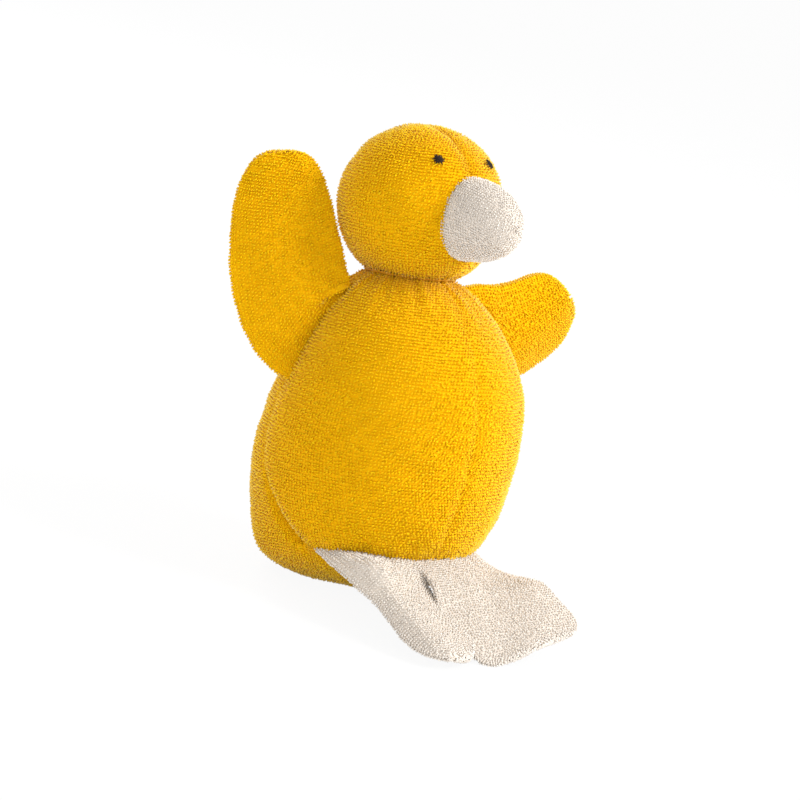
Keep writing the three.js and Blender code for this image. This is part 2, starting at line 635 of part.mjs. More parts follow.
// Feet
function makeFoot(side) {
  const pose = FOOT_POSE[side];
  const sign = side === "left" ? 1 : -1;
  const yaw = rad(pose.yaw);
  const droop = rad(pose.droop);
  const turn = rad(pose.azimuth);
  const hinge = V(sign * Math.cos(turn), -sign * Math.sin(turn), 0);
  const out = V(sign * Math.cos(yaw), Math.sin(yaw), 0);
  const level = Math.cos(droop);
  const ahead = V(sign * Math.sin(yaw) * level, -Math.cos(yaw) * level, -Math.sin(droop));
  const up = out.clone().cross(ahead).multiplyScalar(-sign).normalize();
  const root = bodyPoint(pose.azimuth, BELLY_SEAM).addScaledVector(ahead, SEAM_PULL + 2 * REST_GAP);
  const widest = Math.max(FOOT_LIFT, FOOT_DROOP) + FOOT_SPARE;
  const spot = (u, v, lift) => {
    const open = smooth(2 * u);
    const half = FOOT_ROOT_HALF + (pose.half - FOOT_ROOT_HALF) * open;
    const roll = rad(pose.roll * open);
    const corner = 1 - FOOT_CORNER * Math.abs(v * u) ** 3;
    const side = out.clone().multiplyScalar(Math.cos(roll)).addScaledVector(up, Math.sin(roll));
    const across = hinge.clone().lerp(side, open).normalize();
    const rise = up.clone().multiplyScalar(Math.cos(roll)).addScaledVector(out, -Math.sin(roll));
    const roof = pose.fold * open * (FOOT_RIDGE - Math.hypot(v, FOOT_CREASE));
    const wave = pose.wave * Math.sin(FOOT_WAVES * v + 1) * u;
    const start = root.clone().addScaledVector(hinge, FOOT_ROOT_HALF * v);
    const a = pose.length * u * corner + seatAlong(start, ahead, up) * (1 - smooth(u * FOOT_ROOT_EASE));
    const thick = Math.sign(lift) * limbLift(Math.abs(lift), a, widest);
    return root
      .clone()
      .addScaledVector(ahead, a)
      .addScaledVector(across, half * v)
      .addScaledVector(rise, roof + wave + thick);
  };
  const half = SEAM_GAP / 2;
  const sheet = (lift) => (u, v) => spot(u ** 1.4, -sign * v, lift);
  const upper = between(sheet(half + TERRY), sheet(half), 8, 8);
  const sole = between(sheet(-half), sheet(-half - TERRY), 8, 8);
  piece("foot_" + side + "_upper", upper.subtract(ground), OFF_WHITE, 0.95);
  piece("foot_" + side + "_sole", sole.subtract(ground), OFF_WHITE, 0.95);
}

makeBody();
piece("neck_thread", neckThread, YELLOW_BACK, 0.8);
piece("neck_stuffing", neckCore, WADDING, 1);
makeHead();
makeWing("right");
makeWing("left");
makeFoot("right");
makeFoot("left");

function toMesh({ name, solid, colour, roughness, metalness }) {
  const made = solid.getMesh();
  const geometry = new THREE.BufferGeometry();
  geometry.setAttribute("position", new THREE.BufferAttribute(new Float32Array(made.vertProperties), 3));
  geometry.setIndex(new THREE.BufferAttribute(new Uint32Array(made.triVerts), 1));
  geometry.computeVertexNormals();
  const material = new THREE.MeshStandardMaterial({ color: colour, roughness, metalness });
  const mesh = new THREE.Mesh(geometry, material);
  mesh.name = name;
  return mesh;
}

for (const one of pieces) sit.add(toMesh(one));
const chick = new THREE.Group();
chick.add(sit);
export default chick;
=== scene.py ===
"""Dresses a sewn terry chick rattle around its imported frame.

The cloth forms are written as they were sewn, upright and in millimetres, and sewn_to_row leans them
back on to the seat and turns them to metres. Azimuths run in degrees from the chick's front, 0, to its
right, +.
"""

import json
import math
from functools import partial

import bmesh
import bpy
import numpy as np
from mathutils import Matrix, Vector


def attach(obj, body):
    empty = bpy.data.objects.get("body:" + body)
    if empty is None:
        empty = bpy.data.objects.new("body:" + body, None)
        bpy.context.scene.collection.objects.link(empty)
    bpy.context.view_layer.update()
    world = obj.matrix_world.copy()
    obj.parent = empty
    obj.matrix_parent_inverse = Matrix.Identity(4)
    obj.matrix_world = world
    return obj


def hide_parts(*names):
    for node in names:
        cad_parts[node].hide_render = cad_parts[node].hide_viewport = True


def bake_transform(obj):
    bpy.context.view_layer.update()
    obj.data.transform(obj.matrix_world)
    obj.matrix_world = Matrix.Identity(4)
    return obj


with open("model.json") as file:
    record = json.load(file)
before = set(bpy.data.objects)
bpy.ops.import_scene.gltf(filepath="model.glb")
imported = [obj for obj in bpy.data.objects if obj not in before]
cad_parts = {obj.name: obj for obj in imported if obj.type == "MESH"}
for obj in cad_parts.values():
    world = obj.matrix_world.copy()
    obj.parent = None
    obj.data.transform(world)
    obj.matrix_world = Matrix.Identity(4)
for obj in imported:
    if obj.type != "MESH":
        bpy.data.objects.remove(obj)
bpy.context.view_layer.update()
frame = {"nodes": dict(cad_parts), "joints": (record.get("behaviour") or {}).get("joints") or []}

# Body
BODY_RADIUS = 42.8
BODY_BELLY = 49.0
BODY_UPPER = 60.0
BODY_TOP = BODY_BELLY + BODY_UPPER
LOWER_SQUARENESS = 2.6
UPPER_SQUARENESS = 1.9
CHEST_LEAN = 4.0
BELLY_SWELL = 0.9
SWELL_HEIGHT = 32.0
SWELL_SPREAD = 20.0
BASE_FADE = 5.0
LEAN_BACK = math.radians(7)

# Tail
TAIL_LOBE = 4.5
TAIL_HEIGHT = 9.0
TAIL_SPREAD = 9.5
TAIL_FROM = 60.0
TAIL_TO = 130.0
TAIL_DROP = 5.0
TAIL_DROP_FROM = -5.0
TAIL_DROP_TOP = 32.0

# Seams of the body: where they run, and how deep and wide they draw the cloth in
SIDE_SEAM = 110.0
SIDE_SEAM_FOOT = 76.0
SIDE_SEAM_TURN = 50.0
SIDE_SEAM_SWEEP = 1.3
SIDE_SEAM_WIDTH = 2.6
SIDE_PULL = 0.5
SIDE_PULL_LOW = 1.8
CHEST_SEAM_WIDTH = 2.2
CHEST_PULL = 0.5
BELLY_SEAM = 14.0
SEAM_PULL = 1.1
SEAM_WIDTH = 3.2
LOW_FROM = 40.0
LOW_OVER = 20.0

# Gathers at the neck, and puckers along the belly seam
GATHER_DEPTH = 0.42
GATHER_REACH = 9.0
WIDE_GATHERS = 17
FINE_GATHERS = 29
PUCKER_DEPTH = 0.3
PUCKER_REACH = 5.0
PUCKERS = 31
PUCKERED_TURN = 80

# Neck and head
NECK_RADIUS = 15.0
NECK_SHARE = (1 - (NECK_RADIUS / BODY_RADIUS) ** UPPER_SQUARENESS) ** (1 / UPPER_SQUARENESS)
NECK_HEIGHT = BODY_BELLY + BODY_UPPER * NECK_SHARE
NECK_PIVOT_BELOW = 15.5
NECK_PIVOT = NECK_HEIGHT - NECK_PIVOT_BELOW
SHOULDER_NEAR = 6
HEAD_RADIUS = 27.3
HEAD_HEIGHT = NECK_HEIGHT + 23.5
HEAD_SEAM_PULL = 1.1
HEAD_SEAM_WIDTH = 2.4
CHEEK_SWELL = 0.25
BROW_SWELL = 0.2
CROWN_FLAT = 0.8
HEAD_LIFT = 0.35
RIM_REACH = 5.0
RIM_FOLDS = 0.8

# Beak
BEAK_LENGTH = 22.6
BEAK_RADIUS = 13.6
BEAK_SEAT = 0.9
BEAK_SUNK = 4.5
BEAK_DROP = math.radians(2.5)
BEAK_TURN = math.radians(3)
BEAK_NARROW = 0.89
BEAK_TAPER = 2.1
BEAK_BLUNTNESS = 0.55
BEAK_ROOT = 0.18
BEAK_ROOT_DRAWN = 0.55
BEAK_SEAM_PULL = 0.35
BEAK_SEAM_WIDTH = 1.6

# Eyes: their places, and the angle and half length of each stitch
EYE_AZIMUTH = math.radians(29.5)
LEFT_EYE_AZIMUTH = math.radians(27)
EYE_RISE = math.radians(36.5)
EYE_RAISED = 0.55
EYE_CLEAR = 0.8
EYE_STITCHES = ((0, 2.2), (33, 1.8), (62, 2.1), (95, 1.7), (127, 2.2), (155, 1.8))
STITCH_ARCH = 0.5
STITCH_LAYER = 0.05
STRAND_HALF = 0.21
STRAND_APART = 0.15
STRAND_TWIST = 4

# Limbs: the share of their cloth that is hidden in the body, and the room for the seam at their root
LIMB_ROOT = 0.06
ROOT_CLEAR = 0.6

# Wings. The middle line bends at the elbow and ends at the tip, out from the seam and along it.
WING_ROOT_LOW = 67.0
WING_ROOT_HIGH = 98.0
WING_ROOT_UPPER = 19.5
WING_ROOT_LOWER = 17.3
WING_SQUARENESS = 6.5
WING_ROW_SPACING = 1.3
WING_HALF = 18.0
WING_EDGE = 2.2
WING_PAD = 2.7
WING_TUCK = 0.55
WING_SUNK = 2.6
WING_HIDDEN = 3.0
WING_RIPPLE_REACH = 9.0
WING_BEND = (-1.5, 7)
WINGS = {
    "right": dict(
        elbow=(9.4, 0), tip=(40.0, 43.6), swing=14, seed=46,
        upper=17.4, lower=16.4, full=2.0, blunt=(0.2, 0.4),
    ),
    "left": dict(
        elbow=(19.9, -12.5), tip=(47.5, -4.3), swing=-20, seed=45,
        upper=18.2, lower=17.4, full=0, blunt=(0.32, 0.36),
    ),
}

# Feet. The pairs give the inner and the outer side: degrees along the belly seam, and half widths.
FOOT_ROOT_HALF = 17.5
FOOT_ROW_SPACING = 1.25
FOOT_EDGE = 1.75
FOOT_PAD = 0.35
FOOT_SUNK = 2.2
FOOT_HIDDEN = 2.5
FOOT_BEND = (-1, 7)
FEET = {
    "right": dict(
        azimuth=37.0, yaw=-2, droop=27, roll=-13, seed=56,
        length=50, root=(29, 31), half=(16.5, 10.5), tip=11, corner=0.1, dent=0,
        fold=4.5, ridge=0.5, knee=3.5,
    ),
    "left": dict(
        azimuth=-20.0, yaw=5, droop=25.5, roll=20, seed=55,
        length=47.5, root=(32, 43), half=(22, 21), tip=14, corner=0.03, dent=0.06,
        fold=0, ridge=0, knee=0,
    ),
}

# Neck thread and filling
THREAD_LOOSE = 15.4
THREAD_DRAWN = 14.4
THREAD_HALF = 0.6
THREAD_UNEVEN = 0.4
THREAD_RISE = 0.7
NECK_FILL_RADIUS = 8.0
NECK_FILL_HEIGHT = 24.5
NECK_FILL_BELOW = 0.38

# Columns and rows of each cloth's faces
BODY_GRID = (288, 174)
HEAD_GRID = (200, 102)
BEAK_GRID = (100, 62)
WING_GRID = (132, 90)
FOOT_GRID = (120, 82)
NECK_GRID = (48, 34)
STRAND_GRID = (10, 14)

# Terry: the pitch of its loops, a loop's width and height, its yarn's radius, how deep it is sewn in,
# how far it strays as a share of the pitch, and how it is turned in its row and tilted
LOOP_PITCH = 1.13
LOOP_WIDE = 0.45
LOOP_HIGH = 0.86
LOOP_THICK = 0.35
LOOP_SUNK = 0.5
LOOP_STRAY = 0.14
LOOP_SPIN = (0.7, 0.45)
LOOP_TILT = (0.15, 0.3)
MOST_TILT = 0.8
WIDTH_RANGE = (0.85, 1.15)
HEIGHT_RANGE = (0.8, 1.15)
CREASED_SHORTER = 0.45
SHARE_ENDS = (0.0005, 0.9995)
CHART_SPAN = 300

# One loop of yarn: its path as widths and heights, its ends sunk in the cloth
LOOP_PATH = np.array([(-0.42, -0.2), (-0.55, 0.5), (0.0, 1.0), (0.55, 0.5), (0.42, -0.2)])
LOOP_SIDES = 3
LOOP_HEIGHTS = np.append([0, 0], np.repeat(LOOP_PATH[1:4, 1], LOOP_SIDES))


def smooth(x):
    """Rises gently from 0 at 0 to 1 at 1."""
    x = np.clip(x, 0, 1)
    return x * x * (3 - 2 * x)


def bell(distance, width):
    """1 at no distance, falling to nothing a few widths away."""
    return np.exp(-((distance / width) ** 2))


def wrap(turn):
    """The same azimuth, from -180 to 180."""
    return (turn + 180) % 360 - 180


def unit(ways):
    """The same directions, 1 long."""
    return ways / np.maximum(np.linalg.norm(ways, axis=-1, keepdims=True), 1e-9)


def path_length(points):
    """How far along a row of points each one lies, or the mean of it where several rows run side by side."""
    steps = np.linalg.norm(np.diff(points, axis=0), axis=-1)
    return np.append(0, np.cumsum(steps.reshape(len(steps), -1).mean(1)))


def lean(points):
    """The turn from upright to leaning back, for points or directions."""
    x, y, z = np.moveaxis(np.asarray(points, float), -1, 0)
    c, s = math.cos(LEAN_BACK), math.sin(LEAN_BACK)
    return np.stack([x, y * c + z * s, z * c - y * s], -1)


NECK_JOINT = next(j for j in frame["joints"] if j["name"] == "head_turn")
SEAT_SHIFT = np.array(NECK_JOINT["pos_m"]) * 1000 - lean([0, 0, NECK_PIVOT])


def sewn_to_row(points):
    """Leans a form on to its seat, in metres. What the floor presses lies flat on it."""
    row = (lean(points) + SEAT_SHIFT) / 1000
    row[..., 2] = np.maximum(row[..., 2], 0)
    return row


# The body's form


def chest_y(z):
    """How far ahead the middle of the body lies at this height."""
    return -CHEST_LEAN * np.sin(np.pi * (z - BODY_BELLY) / (NECK_HEIGHT - BODY_BELLY))


def body_radius(z):
    low = np.clip((BODY_BELLY - z) / BODY_BELLY, 0, 1)
    high = np.clip((z - BODY_BELLY) / BODY_UPPER, 0, 1)
    under = (1 - low**LOWER_SQUARENESS) ** (1 / LOWER_SQUARENESS)
    over = (1 - high**UPPER_SQUARENESS) ** (1 / UPPER_SQUARENESS)
    return BODY_RADIUS * np.where(z < BODY_BELLY, under, over)


def side_seam(z):
    """The azimuth of the side seam, which turns forward low down."""
    share = np.clip((SIDE_SEAM_TURN - z) / (SIDE_SEAM_TURN - BELLY_SEAM), 0, 1)
    return SIDE_SEAM - (SIDE_SEAM - SIDE_SEAM_FOOT) * share**SIDE_SEAM_SWEEP


def lowness(z):
    """0 by the wings and 1 down by the belly seam."""
    return smooth((LOW_FROM - z) / LOW_OVER)


def gathers(turn, near):
    """Small folds that run out from the drawn neck, uneven in size and spacing."""
    a = np.radians(turn)
    wide = np.sin(WIDE_GATHERS * a + 1.2 * np.sin(3 * a))
    fine = np.sin(FINE_GATHERS * a + 2.0 * np.cos(2 * a))
    return GATHER_DEPTH * (wide + 0.7 * fine) * near


def seam_pull(away, z, plain):
    """How far the seams draw the body's cloth in."""
    from_side = np.radians(away - side_seam(z)) * plain
    upward = smooth((z - BELLY_SEAM) / SEAM_WIDTH) * smooth(plain / NECK_RADIUS - 0.5)
    chest = CHEST_PULL * bell(np.radians(away) * plain, CHEST_SEAM_WIDTH)
    side = (SIDE_PULL + SIDE_PULL_LOW * lowness(z)) * bell(from_side, SIDE_SEAM_WIDTH)
    belly = bell(np.hypot(z - BELLY_SEAM, np.maximum(0, from_side)), SEAM_WIDTH)
    return SEAM_PULL * np.clip(z / BASE_FADE, 0, 1) * (upward * np.maximum(chest, side) + belly)


def body_puckers(turn, away, z, plain):
    near_neck = bell(z - NECK_HEIGHT, GATHER_REACH) * smooth(plain / NECK_RADIUS - 0.3)
    near_belly = bell(z - BELLY_SEAM, PUCKER_REACH) * (away < PUCKERED_TURN)
    return gathers(turn, near_neck) + PUCKER_DEPTH * np.sin(np.radians(turn) * PUCKERS + 1.7) * near_belly


def body_point(turn, z):
    away = np.abs(wrap(turn))
    plain = body_radius(z)
    lobe = smooth((away - TAIL_FROM) / (TAIL_TO - TAIL_FROM))
    hang = bell(z - TAIL_HEIGHT, TAIL_SPREAD) * np.sqrt(np.clip(z / BASE_FADE, 0, 1))
    swell = BELLY_SWELL * (1 - lobe) * bell(z - SWELL_HEIGHT, SWELL_SPREAD)
    radius = plain + swell + TAIL_LOBE * lobe * hang - seam_pull(away, z, plain)
    radius = radius + body_puckers(turn, away, z, plain)
    a = np.radians(turn)
    x, y = -np.sin(a) * radius, chest_y(z) - np.cos(a) * radius
    drop = TAIL_DROP * smooth((y - TAIL_DROP_FROM) / BODY_RADIUS) * smooth(1 - z / TAIL_DROP_TOP)
    return np.stack([x, y, z - drop], -1)


# The forms of the head and beak


def shoulder_reach(angle):
    """How far the shoulders come from the neck's pivot, near this angle from straight up."""
    z = np.linspace(NECK_HEIGHT - 2 * NECK_PIVOT_BELOW, BODY_TOP, 90)
    up = z - NECK_PIVOT
    polar = np.degrees(np.arctan2(body_radius(z), up))
    far = np.hypot(body_radius(z), up)
    steps = np.linspace(0, 130, 131)
    reach = np.array([far[np.abs(polar - s) <= SHOULDER_NEAR].max(initial=0) for s in steps])
    return np.interp(angle, steps, reach)


def head_point(turn, rise):
    """A spot of the ball of the head, whose underside lies on the shoulders."""
    a, e = np.radians(turn), np.radians(rise)
    across = HEAD_RADIUS * np.cos(e) * np.sin(a)
    seam = HEAD_SEAM_PULL * bell(across, HEAD_SEAM_WIDTH) * (1 + np.sin(e)) / 2
    cheek = (CHEEK_SWELL * np.sin(2 * a + 0.6) + BROW_SWELL * np.sin(3 * e + a)) * np.cos(e)
    crown = CROWN_FLAT * np.clip(np.sin(e), 0, 1) ** 4
    radius = HEAD_RADIUS - seam - crown + cheek
    x, y = -np.sin(a) * np.cos(e) * radius, -np.cos(a) * np.cos(e) * radius
    level, up = np.hypot(x, y), HEAD_HEIGHT + np.sin(e) * radius - NECK_PIVOT
    far = np.hypot(level, up)
    floor = shoulder_reach(np.degrees(np.arctan2(level, up))) + HEAD_LIFT
    grow = np.where(far < floor, floor / np.maximum(far, 1e-6), 1)
    puckers = 1 + gathers(turn, bell(far - floor, RIM_REACH)) * RIM_FOLDS / HEAD_RADIUS
    return np.stack([x * grow * puckers, y * grow * puckers, up * grow + NECK_PIVOT], -1)


BEAK_LEVEL = np.array([math.sin(BEAK_TURN), -math.cos(BEAK_TURN), 0])
UPWARD = np.array([0, 0, 1.0])
BEAK_AHEAD = BEAK_LEVEL * math.cos(BEAK_DROP) - UPWARD * math.sin(BEAK_DROP)
BEAK_UP = BEAK_LEVEL * math.sin(BEAK_DROP) + UPWARD * math.cos(BEAK_DROP)
BEAK_BASE = UPWARD * HEAD_HEIGHT + BEAK_AHEAD * HEAD_RADIUS * BEAK_SEAT
SIDEWAYS = np.cross(BEAK_AHEAD, BEAK_UP)


def split_share(share, root):
    """How far out a spot lies, and how deep in the hidden root, from 0 to 1. Both are 0 in the seam."""
    return np.clip((share - root) / (1 - root), 0, 1), np.clip(1 - share / root, 0, 1)


def beak_point(turn, share):
    """share runs from the hidden root inside the head, 0, to the blunt tip, 1."""
    t, back = split_share(share, BEAK_ROOT)
    t = np.sin(t * np.pi / 2)
    radius = BEAK_RADIUS * (1 - t**BEAK_TAPER) ** BEAK_BLUNTNESS
    radius = radius * (1 - BEAK_ROOT_DRAWN * back**2)
    a = np.radians(turn)
    from_seam = np.abs(np.abs(a) - np.pi) * radius
    radius = radius - BEAK_SEAM_PULL * bell(from_seam, BEAK_SEAM_WIDTH) * (back == 0)
    along = BEAK_LENGTH * t - (HEAD_RADIUS * (1 - BEAK_SEAT) + BEAK_SUNK) * back
    x = np.sin(a) * radius * BEAK_NARROW
    up = np.cos(a) * radius
    return BEAK_BASE + along[..., None] * BEAK_AHEAD + x[..., None] * SIDEWAYS + up[..., None] * BEAK_UP


# The forms of the wings and feet


def section(a, roundness):
    """How high the upper or lower cloth stands round a flat limb, from -1 to 1."""
    return np.sign(np.sin(a)) * np.abs(np.sin(a)) ** roundness


def limb_end(u, share, squareness):
    """Thins a limb out at its tip and at its hidden root."""
    return (1 - u**squareness) ** 0.5 * smooth(share / 0.05)


def mirror(side):
    return np.array([1 if side == "right" else -1, 1, 1])


def wing_frame(side):
    """The directions along a wing's seam, out of its face and to its tip, and the middle of its root."""
    heights = (WING_ROOT_LOW, WING_ROOT_HIGH, (WING_ROOT_LOW + WING_ROOT_HIGH) / 2)
    low, high, middle = (body_point(np.array(SIDE_SEAM), np.array(z)) for z in heights)
    along = unit(high - low)
    seam = math.radians(SIDE_SEAM)
    away = np.array([-math.sin(seam), -math.cos(seam), 0])
    away = unit(away - along * (away @ along))
    back = np.array([-math.cos(seam), math.sin(seam), 0])
    swing = math.radians(WINGS[side]["swing"])
    reach = away * math.cos(swing) + back * math.sin(swing)
    return along, unit(np.cross(along, reach)), reach, middle + away * (SEAM_PULL + ROOT_CLEAR)


def wing_plan(side, u, v):
    """Where a spot of the wing lies in its own plane: out from the seam, and along the seam."""
    wing = WINGS[side]
    (x1, y1), (x2, y2) = wing["elbow"], wing["tip"]
    t = np.sin(u**WING_ROW_SPACING * np.pi / 2)
    middle_out, middle_up = 2 * (1 - t) * t * x1 + t * t * x2, 2 * (1 - t) * t * y1 + t * t * y2
    ahead = unit(np.stack([(1 - t) * x1 + t * (x2 - x1), (1 - t) * y1 + t * (y2 - y1)], -1))
    root = np.where(v > 0, WING_ROOT_UPPER, WING_ROOT_LOWER)
    half = root + (np.where(v > 0, wing["upper"], wing["lower"]) - root) * t
    half = half + wing["full"] * np.sin(np.pi * t)
    wide = half * (1 - t**WING_SQUARENESS) ** np.where(v > 0, *wing["blunt"]) * v
    free = smooth(3 * u)
    out = middle_out - ahead[..., 1] * wide * free
    up = (middle_up + ahead[..., 0] * wide) * free + wide * (1 - free)
    return out, up


def wing_waves(out, up):
    """The slow crumple of a wing's cloth, and ripples by its seam."""
    crumple = 0.5 * np.sin(out * 0.16 + up * 0.1 + 1) + 0.35 * np.sin(up * 0.24 - out * 0.09)
    return crumple + 0.35 * np.sin(up * 0.9) * bell(out, WING_RIPPLE_REACH)


def wing_point(side, turn, share):
    """turn goes round the wing's section, and share runs from the root inside the body to the tip."""
    along, face, reach, middle = wing_frame(side)
    u, back = split_share(share, LIMB_ROOT)
    a = np.radians(turn)
    v = np.cos(a)
    inner = (1 - v * v) * (1 - u**4) * smooth(u * 4 - 0.1)
    thick = section(a, 0.62) * (WING_EDGE + WING_PAD * inner**0.6) * limb_end(u, share, 14)
    tuck = WING_TUCK * bell(thick, WING_TUCK) * smooth(share * 6)
    out, up = wing_plan(side, u, v * (1 - tuck / WING_HALF))
    seat = -WING_SUNK * (1 - smooth(u * 5)) - WING_HIDDEN * back
    lift = thick + wing_waves(out, up) * smooth(u * 3)
    p = middle + (out + seat)[..., None] * reach + up[..., None] * along + lift[..., None] * face
    return p * mirror(side)


def foot_frame(side):
    """A foot's side, its directions outwards, up and ahead, and the middle of its root."""
    foot = FEET[side]
    sign = 1 if side == "left" else -1
    yaw, droop = math.radians(foot["yaw"]), math.radians(foot["droop"])
    out = np.array([sign * math.cos(yaw), math.sin(yaw), 0])
    level = math.cos(droop)
    ahead = np.array([sign * math.sin(yaw) * level, -math.cos(yaw) * level, -math.sin(droop)])
    up = unit(-sign * np.cross(out, ahead))
    root = body_point(np.array(foot["azimuth"]), np.array(BELLY_SEAM))
    return sign, out, up, ahead, root + ahead * (SEAM_PULL + ROOT_CLEAR)


def foot_seam(foot, sign, v):
    """Where a spot's root is sewn in the belly seam, from the middle of the foot's root."""
    inner, outer = foot["root"]
    turn = foot["azimuth"] - sign * np.where(v > 0, outer, inner) * v
    seam = body_point(turn, np.full(np.shape(v), BELLY_SEAM))
    return seam - body_point(np.array(foot["azimuth"]), np.array(BELLY_SEAM))


def foot_folds(foot, u, v):
    """How a foot's cloth is creased: a ridge along it, a knee near its root and slow waves."""
    roof = foot["fold"] * smooth(4 * u) * (0.85 - 0.15 * u - np.hypot(v - foot["ridge"], 0.17))
    knee = foot["knee"] * bell(np.hypot((u - 0.2) / 0.14, (v - 0.4) / 0.45), 1)
    return roof + knee + 0.6 * np.sin(2.6 * v + 1) * u + 0.45 * np.sin(5.5 * v + 7 * u + 1) * u


def foot_point(side, turn, share):
    """turn goes round the foot's section, and share runs from the root inside the body to the tip."""
    foot = FEET[side]
    sign, out, up, ahead, root = foot_frame(side)
    u, back = split_share(share, LIMB_ROOT)
    u = u**FOOT_ROW_SPACING
    a = np.radians(turn)
    v = np.cos(a)
    thick = section(a, 0.5) * (FOOT_EDGE + FOOT_PAD * (1 - v * v)) * limb_end(u, share, 20)
    v = v * (1 - u ** foot["tip"]) ** 0.35
    opened = smooth(2.2 * u)
    inner, outer = foot["half"]
    wide = FOOT_ROOT_HALF + (np.where(v > 0, outer, inner) - FOOT_ROOT_HALF) * opened
    roll = np.radians(foot["roll"]) * opened * np.where(v > 0, 1, 0.15 + 0.85 * u)
    across = np.cos(roll)[..., None] * out + np.sin(roll)[..., None] * up
    rise = np.cos(roll)[..., None] * up - np.sin(roll)[..., None] * out
    # The root is sewn along the belly seam, and the cloth opens flat in front of it.
    seam = foot_seam(foot, sign, v)
    spread = seam + ((wide * v)[..., None] * across - seam) * opened[..., None]
    corner = 1 - foot["corner"] * np.abs(v * u) ** 2 - foot["dent"] * (1 - v * v) * u * u
    reach = foot["length"] * u * corner - FOOT_SUNK * (1 - smooth(u * 4)) - FOOT_HIDDEN * back
    lift = foot_folds(foot, u, v) + thick
    return root + reach[..., None] * ahead + spread + lift[..., None] * rise


# Meshes


def deselect():
    bpy.ops.object.select_all(action="DESELECT")


def set_mode(mode):
    bpy.ops.object.mode_set(mode=mode)


def add_object(name, data):
    made = bpy.data.objects.new(name, data)
    bpy.context.scene.collection.objects.link(made)
    return made


def choose(piece, kind, chosen):
    """Goes into edit mode with only these edges or faces selected."""
    bpy.context.tool_settings.mesh_select_mode = (False, kind == "edges", kind == "polygons")
    set_mode("EDIT")
    bpy.ops.mesh.select_all(action="DESELECT")
    set_mode("OBJECT")
    getattr(piece.data, kind).foreach_set("select", chosen)
    set_mode("EDIT")


def read_all(items, name, size=3, kind=np.float32):
    """A row of this many values for every point, edge, face or corner."""
    values = np.zeros(len(items) * size, kind)
    items.foreach_get(name, values)
    return values.reshape(-1, size)


def read_points(piece):
    return read_all(piece.data.vertices, "co").astype(float)


def write_points(piece, points):
    piece.data.vertices.foreach_set("co", points.astype(np.float32).ravel())
    piece.data.update()


def read_corners(piece):
    """The point at each corner of the faces, and where each face's corners start."""
    corner = read_all(piece.data.loops, "vertex_index", 1, np.int32)[:, 0]
    return corner, read_all(piece.data.polygons, "loop_start", 1, np.int32)[:, 0]


def point_normals_out():
    """Points the active piece's faces outwards."""
    set_mode("EDIT")
    bpy.ops.mesh.select_all(action="SELECT")
    bpy.ops.mesh.normals_make_consistent(inside=False)
    set_mode("OBJECT")


def finish_mesh(piece):
    piece.data.polygons.foreach_set("use_smooth", np.ones(len(piece.data.polygons), bool))
    deselect()


def join_pieces(pieces):
    """Joins the others to the first one."""
    deselect()
    for piece in pieces:
        piece.select_set(True)
    bpy.context.view_layer.objects.active = pieces[0]
    bpy.ops.object.join()
    deselect()


def make_grid(name, columns, rows):
    """A closed drum of this many columns and rows of faces, its ends drawn to a point. rows is 4 n + 2."""
    deselect()
    bpy.ops.mesh.primitive_cylinder_add(
        vertices=columns, radius=1, depth=2, end_fill_type="TRIFAN", calc_uvs=False
    )
    piece = bpy.context.active_object
    piece.name = piece.data.name = name
    for cuts in (3, (rows - 2) // 4 - 1):
        z = read_points(piece)[:, 2]
        ends = read_all(piece.data.edges, "vertices", 2, np.int32)
        upright = np.abs(np.diff(z[ends], axis=1)[:, 0]) > 1e-3
        choose(piece, "edges", upright)
        bpy.ops.mesh.subdivide(number_cuts=cuts)
        set_mode("OBJECT")
    return piece


def grid_place(piece, columns, rows):
    """Each point's column as a turn from the front, in degrees, and its row as a share from the bottom."""
    co = read_points(piece)
    column = np.rint(np.arctan2(-co[:, 0], -co[:, 1]) / (2 * np.pi) * columns)
    row = 1 + np.rint((co[:, 2] + 1) / 2 * (rows - 2))
    pole = np.hypot(co[:, 0], co[:, 1]) < 0.5
    row = np.where(pole, np.where(co[:, 2] > 0, rows, 0), row)
    return column * 360 / columns, row / rows


def keep_faces(piece, keep):
    """Deletes the faces whose corners aren't all kept."""
    corner, start = read_corners(piece)
    choose(piece, "polygons", ~np.logical_and.reduceat(keep[corner], start))
    bpy.ops.mesh.delete(type="FACE")
    set_mode("OBJECT")


def close_inside(piece, apex):
    """Closes a cut panel behind, with a cone from its turned-in edge to a point inside the filling."""
    form = bmesh.new()
    form.from_mesh(piece.data)
    rim = [e for e in form.edges if e.is_boundary]
    tip = form.verts.new(Vector(sewn_to_row(apex)))
    for e in rim:
        form.faces.new((e.verts[1], e.verts[0], tip))
        e.smooth = False
    bmesh.ops.recalc_face_normals(form, faces=form.faces)
    form.to_mesh(piece.data)
    form.free()


def paint(piece, name, values):
    """Gives each point a number or a direction that the material reads."""
    values = np.asarray(values, np.float32)
    kind, key = ("FLOAT", "value") if values.ndim == 1 else ("FLOAT_VECTOR", "vector")
    layer = piece.data.attributes.new(name, kind, "POINT")
    layer.data.foreach_set(key, values.ravel())


def lay_chart(piece, u, v):
    """A map that lays the cloth out flat, with a loop over the spot that it grows from."""
    corner, start = read_corners(piece)
    count = np.diff(np.append(start, len(corner)))
    cu = u[corner]
    wide = np.maximum.reduceat(cu, start) - np.minimum.reduceat(cu, start)
    cu = cu + (np.repeat(wide, count) > 0.5) * (cu < 0.5)
    layer = piece.data.uv_layers.new(name="OFBake")
    chart = np.stack([0.01 + 0.96 * cu, 0.01 + 0.98 * v[corner]], -1)
    layer.data.foreach_set("uv", chart.astype(np.float32).ravel())


# Cloth and its loops


